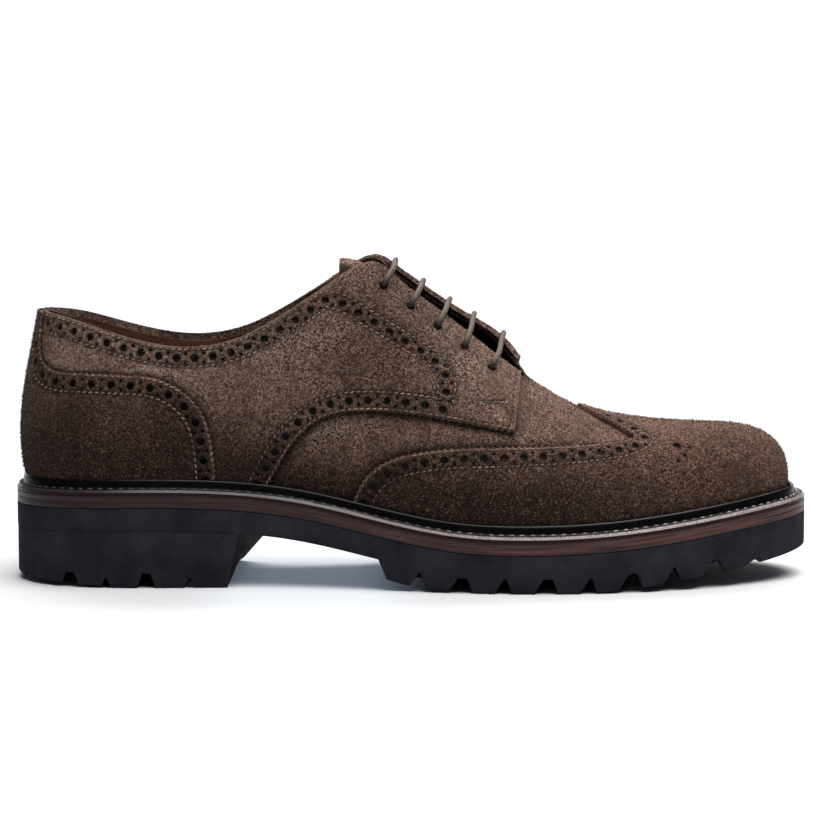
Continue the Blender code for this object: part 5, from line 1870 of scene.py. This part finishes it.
@dataclass
class Outsole(SoleLayer):
    """Rubber outsole: shank, step down to the tread, wide and narrow grooves in turn, and toe spring."""

    last: Last
    top: float = 7.5
    waist: float = 8.5
    step_top: float = -12.8
    step_foot: float = -9.6
    tread_flat: tuple[float, float] = (20.0, 60.0)
    rear_rise: float = 4.6
    rear_length: float = 30.5
    toe_rise: float = 12.0
    toe_length: float = 94.0
    toe_power: float = 1.5
    groove_start: float = 2.0
    groove_pitch: float = 16.0
    groove_count: int = 9
    wide: tuple[float, float] = (4.6, 1.7)
    narrow: tuple[float, float] = (3.2, 0.4)
    skew: float = 0.28
    groove_depth: float = 5.6
    toe_depth: float = 0.9
    toe_fade: tuple[float, float] = (106.0, 138.0)
    middle: tuple[float, float] = (0.28, 0.72)
    corner: float = 0.7
    shank_corner: float = 0.15
    corner_change: tuple[float, float] = (-62.0, -54.0)

    def cuts(self) -> list[Cut]:
        """Grooves of the tread's edge, narrow and wide in turn, shallower towards the toe."""
        found = []
        for index in range(self.groove_count):
            x = self.groove_start + self.groove_pitch * index
            fade = float(ramp(np.array(x), *self.toe_fade))
            depth = self.groove_depth + (self.toe_depth - self.groove_depth) * fade
            found.append(Cut(x, *(self.wide if index % 2 else self.narrow), depth))
        return found

    def bottom(self, x: Array, part: Array) -> Array:
        """Height of the underside: tread, grooves of its edge and middle, and the shank behind the step."""
        rear = self.rear_rise * (np.clip(self.tread_flat[0] - x, 0, None) / self.rear_length) ** 2
        toe = self.toe_rise * (np.clip(x - self.tread_flat[1], 0, None) / self.toe_length) ** self.toe_power
        middle = ramp(part, self.middle[0] - 0.02, self.middle[0] + 0.02)
        middle = middle * (1 - ramp(part, self.middle[1] - 0.02, self.middle[1] + 0.02))
        edge_cut, middle_cut = np.zeros_like(x + part), np.zeros_like(x + part)
        for cut in self.cuts():
            here = cut.depth * groove(x, cut.x, cut.half_mouth, cut.half_floor, skew=self.skew)
            middle_x = cut.x + self.groove_pitch / 2
            between = cut.depth * groove(x, middle_x, cut.half_mouth, cut.half_floor, skew=self.skew)
            edge_cut, middle_cut = np.maximum(edge_cut, here), np.maximum(middle_cut, between)
        tread = rear + toe + edge_cut + (middle_cut - edge_cut) * middle
        shank = self.last.welt_top(x) - self.top - self.waist
        step = np.clip((self.step_foot - x) / (self.step_foot - self.step_top), 0, 1)
        return tread + (shank - tread) * step

    def build(self) -> None:
        """Makes the outsole: rings across with rounded edges, over the underside's heights."""
        corners = [np.array([self.step_top, self.step_foot])]
        for cut in self.cuts():
            for centre in (cut.x, cut.x + self.groove_pitch / 2):
                shift = self.skew * (cut.half_mouth - cut.half_floor)
                for half, middle in ((cut.half_mouth, centre), (cut.half_floor, centre + shift)):
                    corners.append(middle + np.array([-1, 1])[:, None] * (half + np.array([-0.35, 0, 0.35])))
        corners = [np.clip(corner.ravel(), -150, 150) for corner in corners]
        share = self.columns(2.2, *corners)
        x = self.last.length_at(share)
        low_parts = np.array([
            1, 0.87, 0.76, 0.74, 0.72, 0.70, 0.68, 0.5, 0.32, 0.30, 0.28, 0.26, 0.24, 0.13, 0,
        ])
        roof = self.last.welt_top(x) - self.top
        soft = self.shank_corner + (self.corner - self.shank_corner) * ramp(x, *self.corner_change)
        lateral_foot, medial_foot = self.bottom(x, np.zeros(1)), self.bottom(x, np.ones(1))
        rounding = [(1.6, 0.0), (0.6, 0.08), (0.12, 0.4)]
        part = np.concatenate([np.ones(6), low_parts, np.zeros(6)])
        lip = [step + 0 * x for step in (0.4, 0.1, 0.0)]
        edge_inset = np.concatenate([*lip, *(step * soft for _, step in rounding)], 1)
        inset = np.concatenate([edge_inset, soft + 0 * low_parts, edge_inset[:, ::-1]], 1)
        medial, lateral = (
            np.concatenate([roof, roof - 0.18, roof - 0.6, *(foot + rise * soft for rise, _ in rounding)], 1)
            for foot in (medial_foot, lateral_foot)
        )
        height = np.concatenate([medial, self.bottom(x, low_parts), lateral[:, ::-1]], 1)
        points, faces = self.loft(share, part, inset, height)
        make_piece("lugged_outsole", points, [faces], Rubber(), ("outsole",), weld=True, sharp=35.0)


@dataclass
class Heel(SoleLayer):
    """Rubber heel block: slanted breast, notched lower edge, rolled back and a faint mould line."""

    last: Last
    top: float = 15.95
    inset: float = 0.15
    flat_back: float = -100.0
    rear_rise: float = 2.4
    roll_power: float = 1.3
    breast_foot: float = -70.0
    breast_lateral: float = -65.5
    breast_medial: float = -58.0
    notch_reach: tuple[float, float] = (0.20, 0.26)
    mould_line: float = 0.55
    corner: float = 0.7
    notches: tuple[Cut, ...] = table_of(
        Cut, (-147.7, 1.8, 0.6, 3.5), (-130, 3.5, 1.5, 5.5), (-116, 1.8, 0.6, 3.5), (-100.6, 3.5, 1.5, 5.5),
        (-84.4, 1.8, 0.6, 3.5),
    )

    def build(self) -> None:
        """Makes the block: rings across whose front leans with the breast, notched at both sides."""
        corners = [np.array([self.breast_foot])]
        for notch in self.notches:
            for half in (notch.half_mouth, notch.half_floor):
                reach = half + np.array([-0.3, 0, 0.3])
                corners.append(np.concatenate([notch.x - reach, notch.x + reach]))
        share = self.columns(2.0, *corners)
        limit = float(self.last.share_at(self.breast_foot))
        share = share[share[:, 0] <= limit + 1e-6]
        soft = self.corner
        reach = self.notch_reach
        low_parts = np.array([1, 0.9, 1 - reach[0], 1 - reach[1], 0.5, reach[1], reach[0], 0.1, 0])
        x = self.last.length_at(share)
        behind = np.clip((self.flat_back - x) / (self.flat_back + self.last.length / 2), 0, 1)
        roll = self.rear_rise * behind ** self.roll_power
        depths = [cut.depth * groove(x, cut.x, cut.half_mouth, cut.half_floor, 0.3) for cut in self.notches]
        side_foot = np.maximum(np.max(depths, 0), roll)
        in_side = (low_parts < reach[0] + 1e-6) | (low_parts > 1 - reach[0] - 1e-6)
        roof = self.last.welt_top(x) - self.top
        line = self.mould_line * roof
        steps = [0.05, 0.0, 0.0, -0.05, 0.0, 0.0, 0.08 * soft, 0.4 * soft]
        low_levels = [side_foot + rise * soft for rise in (1.6, 0.6, 0.12)]
        levels = [roof, roof - 0.1, line + 0.3, line, line - 0.3, *low_levels]
        part = np.concatenate([np.ones(8), low_parts, np.zeros(8)])
        inset = self.inset + np.concatenate([steps, np.full(len(low_parts), soft), steps[::-1]])
        height = np.concatenate([*levels, np.where(in_side, side_foot, roll), *levels[::-1]], 1)
        breast = self.breast_lateral + part * (self.breast_medial - self.breast_lateral)
        low = np.clip(1 - height / roof, 0, 1) ** (1 + 2 * part)
        front = self.last.share_at(breast + (self.breast_foot - breast) * low)
        leaning = share * (1 + (front / limit - 1) * ramp(share / limit, 0.8, 1.0))
        points, faces = self.loft(leaning, part, inset, height)
        cap = np.arange(len(points) - len(part), len(points))[None]
        make_piece("heel_block", points, [faces, cap], Rubber(), ("heel",), weld=True, sharp=35.0)


@dataclass
class Rands:
    """Welt with its storm bead and stitches, midsole and insole."""

    last: Last
    welt_thick: float = 2.4
    bead_height: float = 3.3
    groove_inset: float = 5.35
    wheel_pitch: float = 1.5
    wheel_depth: float = 0.16
    stitch_pitch: float = 4.0
    midsole_top: float = 2.42
    midsole_thick: float = 4.85
    midsole_inset: float = 0.05
    midsole_reach: float = 22.0
    heel_dish: tuple[float, float, float] = (0.8, -112.0, 34.0)
    insole_thick: float = 2.8
    insole_margin: float = 2.3
    inner_reach: float = 6.0

    def way(self, spacing: float) -> Array:
        """Ways round the sole at an even spacing of its outline, as a column."""
        fine = np.linspace(0, 2, 4001)
        run = running_length(self.last.outline(fine))
        count = 2 * round(run[-1] / spacing / 2)
        return np.interp(np.arange(count) * run[-1] / count, run, fine)[:, None]

    def sweep(self, way: Array, inset: Array, rise: Array) -> tuple[Array, Array, Array]:
        """A profile carried round the sole: corners, quads and distances along and below the welt's top."""
        way, inset, rise = np.broadcast_arrays(way, inset, rise)
        plan = self.last.sole_edge(way, inset)
        points = np.concatenate([plan, (self.last.welt_top(plan[..., 0]) + rise)[..., None]], -1)
        run = running_length(points[:, 0])[:, None] + 0 * rise
        edge = np.stack([run, -rise, 0 * rise], -1)
        faces = grid_faces(*way.shape, wrap_columns=True, wrap_rows=True)
        return points.reshape(-1, 3), faces, edge.reshape(-1, 3)

    def make_welt(self) -> None:
        """Welt: chamfered and wheeled rim, stitch groove, rounded bead against the upper, flat inside."""
        way = self.way(self.wheel_pitch / 2)
        foot = self.last.feather_inset(way)
        wheel = self.wheel_depth * (np.arange(len(way)) % 2)[:, None]
        centre = foot - self.groove_inset
        shelf = centre - 0.75
        profile = [
            (0.2, -self.welt_thick),
            (0.0, -2.2),
            (0.0, -1.5),
            (0.12, -1.28 - 0.2 * wheel),
            (0.65, -0.7 - 0.6 * wheel),
            (1.15, -0.1 - wheel),
            (0.5 * (shelf + 1.15), -wheel),
            (shelf, -0.5 * wheel),
            (centre - 0.35, -0.5),
            (centre + 0.35, -0.5),
            (foot - 4.55, -0.1),
            (foot - 4.42, 1.2),
            (foot - 4.25, 2.4),
            (foot - 3.95, 3.05),
            (foot - 3.55, self.bead_height),
            (foot - 3.15, 3.15),
            (foot - 2.85, 2.5),
            (foot - 2.65, 1.0),
            (foot - 2.5, 0.0),
            (foot + self.inner_reach, 0.0),
            (foot + self.inner_reach, -self.welt_thick),
        ]
        inset, rise = (np.concatenate([value + 0 * foot for value in column], 1) for column in zip(*profile))
        points, faces, edge = self.sweep(way, inset, rise)
        make_piece("storm_welt", points, [faces[:, ::-1]], WeltLeather(), ("welt",), {"edge": edge},
                   weld=True, sharp=50.0)

    def make_welt_stitches(self) -> None:
        """Stitches in the welt's groove, all round."""
        way = self.way(self.stitch_pitch)
        # The welt's thread is darkened by painted shade towards the heel
        thread = Thread("pale_welt_thread", dark="1F1817", pale="94807A", fade_axis=0, fade=(-0.01, 0.045),
                        painted_shade_level=0.06)
        stitching = Stitching("welt_stitching", thread, length=2.2, width=0.95, slant=6.0)
        inset = self.last.feather_inset(way) - self.groove_inset
        points, _, _ = self.sweep(way, inset, np.full_like(way, -0.05))
        heading = unit(np.roll(points, -1, axis=0) - np.roll(points, 1, axis=0))
        stitching.lay(points, heading, np.tile((0.0, 0.0, 1.0), (len(points), 1)))
        stitching.build()

    def make_midsole(self) -> None:
        """Leather layer between welt and outsole, its edge rounded, with a line between its two layers."""
        way = self.way(2.0)
        top, low = self.midsole_top, self.midsole_top + self.midsole_thick
        seam = 0.55 * top + 0.45 * low
        profile = [(0.1, low), (0.03, low - 0.12), (0.0, low - 0.4), (0.0, seam + 0.14), (0.07, seam),
                   (0.0, seam - 0.14), (0.0, top + 0.5), (0.04, top + 0.2), (0.18, top),
                   (self.midsole_reach, top), (self.midsole_reach, low)]
        inset, depth = np.array(profile).T
        points, faces, edge = self.sweep(way, self.midsole_inset + inset[None], -depth[None])
        make_piece("waxed_midsole", points, [faces[:, ::-1]], EdgeLeather(), ("midsole",), {"edge": edge},
                   weld=True)

    def make_insole(self) -> None:
        """Board that the foot stands on: a loft with softened upper edges and a shallow dish for the heel."""
        layer = SoleLayer(self.last)
        share = layer.columns(3.0)
        x = self.last.length_at(share)
        margin = self.last.feather_inset(share) + self.insole_margin
        floor = self.last.welt_top(x) + self.last.gap
        parts = np.linspace(0, 1, 25)
        depth, middle, width = self.heel_dish
        dish = depth * np.sin(np.pi * parts)[None] * bump(x - middle, width)
        top = floor + self.insole_thick
        part = np.concatenate([[0.0, 0.0], parts, [1.0, 1.0]])
        inset = np.concatenate([margin, margin, margin + 0 * parts + 0.5, margin, margin], 1)
        height = np.concatenate([floor, top - 0.5, top - dish, top - 0.5, floor], 1)
        points, faces = layer.loft(share, part, inset, height)
        make_piece("insole_board", points, [faces], LiningLeather(), ("insole",), weld=True)

    def build(self) -> None:
        """Makes the welt, its stitches, the midsole and the insole."""
        self.make_welt()
        self.make_welt_stitches()
        self.make_midsole()
        self.make_insole()


# Studio

@dataclass
class Studio:
    """White paper sweep with a painted glow under the arch, soft lights and the photograph's camera."""

    camera_place: tuple[float, float, float] = (1.4755, -1050.0, 164.37)
    camera_dip: float = 5.573
    camera_lens: float = 117.07
    sensor: float = 36.0
    floor_half_width: float = 4000.0
    floor_front: float = -2500.0
    floor_back: float = 450.0
    sweep_radius: float = 3200.0
    sweep_turn: float = 62.0
    paper: str = "BEBEBE"
    room: str = "CFDDF2"
    room_strength: float = 0.18
    # Colour, strength and ends along the shoe of the painted glow on the paper under the arch
    painted_glow_colour: str = "C4D6EC"
    painted_glow_strength: float = 0.22
    glow_ends: tuple[tuple[float, float], ...] = ((-0.09, -0.055), (0.012, -0.025))

    def make_floor(self) -> None:
        """Paper that runs flat under the shoe and curves up behind it, glowing under the arch: painted light
        that lifts the shadow there.
        """
        turn = np.linspace(0, math.radians(self.sweep_turn), 40)
        y = np.concatenate([[self.floor_front], self.floor_back + self.sweep_radius * np.sin(turn)])
        z = np.concatenate([[0.0], self.sweep_radius * (1 - np.cos(turn))])
        x = np.array([-self.floor_half_width, self.floor_half_width])
        points = np.stack([np.repeat(x, len(y)), np.tile(y, 2), np.tile(z, 2)], -1)
        mesh = bpy.data.meshes.new("paper_sweep")
        mesh.from_pydata((points * MM).tolist(), [], grid_faces(2, len(y)).tolist())
        mesh.shade_smooth()
        material = bpy.data.materials.new("white_paper")
        material.use_nodes = True
        tree = material.node_tree
        add = partial(add_node, tree)
        length = add("SeparateXYZ", {0: add("TexCoord", {}, "Object")})
        # Painted light: the paper glows only in a band under the shoe's arch
        glow = self.painted_glow_strength
        behind, ahead = (
            add("MapRange", {0: length, 1: start, 2: end, 4: glow}, interpolation_type="SMOOTHSTEP")
            for start, end in self.glow_ends
        )
        set_inputs(tree, tree.nodes["Principled BSDF"], {
            "Base Color": linear(self.paper),
            "Roughness": 0.9,
            "Emission Color": linear(self.painted_glow_colour),
            "Emission Strength": add("Math", {0: behind, 1: ahead}, operation="MINIMUM"),
        })
        mesh.materials.append(material)
        floor = bpy.data.objects.new("paper_sweep", mesh)
        bpy.context.scene.collection.objects.link(floor)

    def add_light(self, name: str, place: tuple[float, float, float], aim: tuple[float, float, float],
                  size: tuple[float, float], power: float) -> None:
        """Adds a rectangular soft light.

        Args:
            name: Name of the light.
            place: Its middle, in millimetres.
            aim: Point that it faces.
            size: Its width and height.
            power: Its power in watts.
        """
        lamp = bpy.data.lights.new(name, "AREA")
        lamp.shape = "RECTANGLE"
        lamp.size, lamp.size_y = size[0] * MM, size[1] * MM
        lamp.energy = power
        light = bpy.data.objects.new(name, lamp)
        light.location = np.array(place) * MM
        direction = Vector(aim) - Vector(place)
        light.rotation_euler = direction.to_track_quat("-Z", "Y").to_euler()
        bpy.context.scene.collection.objects.link(light)

    def make_lights(self) -> None:
        """A wide softbox above the toe and another over the paper behind the shoe, in a dim room."""
        self.add_light("overhead_softbox", (320, -320, 1200), (40, 0, 50), (1300, 900), 32.0)
        self.add_light("paper_softbox", (0, 1500, 1900), (0, 1500, 0), (2600, 1400), 95.0)
        world = bpy.data.worlds.new("dim_room")
        world.use_nodes = True
        world.node_tree.nodes["Background"].inputs["Color"].default_value = linear(self.room)
        world.node_tree.nodes["Background"].inputs["Strength"].default_value = self.room_strength
        bpy.context.scene.world = world

    def make_camera(self) -> None:
        """The photograph's camera: lateral side, a little above the shoe."""
        lens = bpy.data.cameras.new("photo_camera")
        lens.lens, lens.sensor_width = self.camera_lens, self.sensor
        camera = bpy.data.objects.new("photo_camera", lens)
        camera.location = np.array(self.camera_place) * MM
        camera.rotation_euler = (math.radians(90 - self.camera_dip), 0.0, 0.0)
        bpy.context.scene.collection.objects.link(camera)
        bpy.context.scene.camera = camera
        bpy.context.scene.view_settings.view_transform = "Standard"

    def build(self) -> None:
        """Sets the stage."""
        self.make_camera()
        self.make_floor()
        self.make_lights()


def clear_defaults() -> None:
    """Removes the start-up scene's own objects, and keeps the frame."""
    kept = {*frame["nodes"].values(), *frame["bodies"].values()}
    for spare in [thing for thing in bpy.data.objects if thing not in kept]:
        bpy.data.objects.remove(spare)


def main() -> None:
    """Dresses the shoe piece by piece and sets the stage."""
    logging.basicConfig(level=logging.INFO, format="%(message)s")
    clear_defaults()
    Studio().build()
    last = Last()
    upper = Upper(last)
    Lacing(upper).build()
    upper.build()
    skins = upper.napped + [Tongue().build()]
    Nap().build(skins)
    Rands(last).build()
    Outsole(last).build()
    Heel(last).build()


if __name__ == "__main__":
    main()
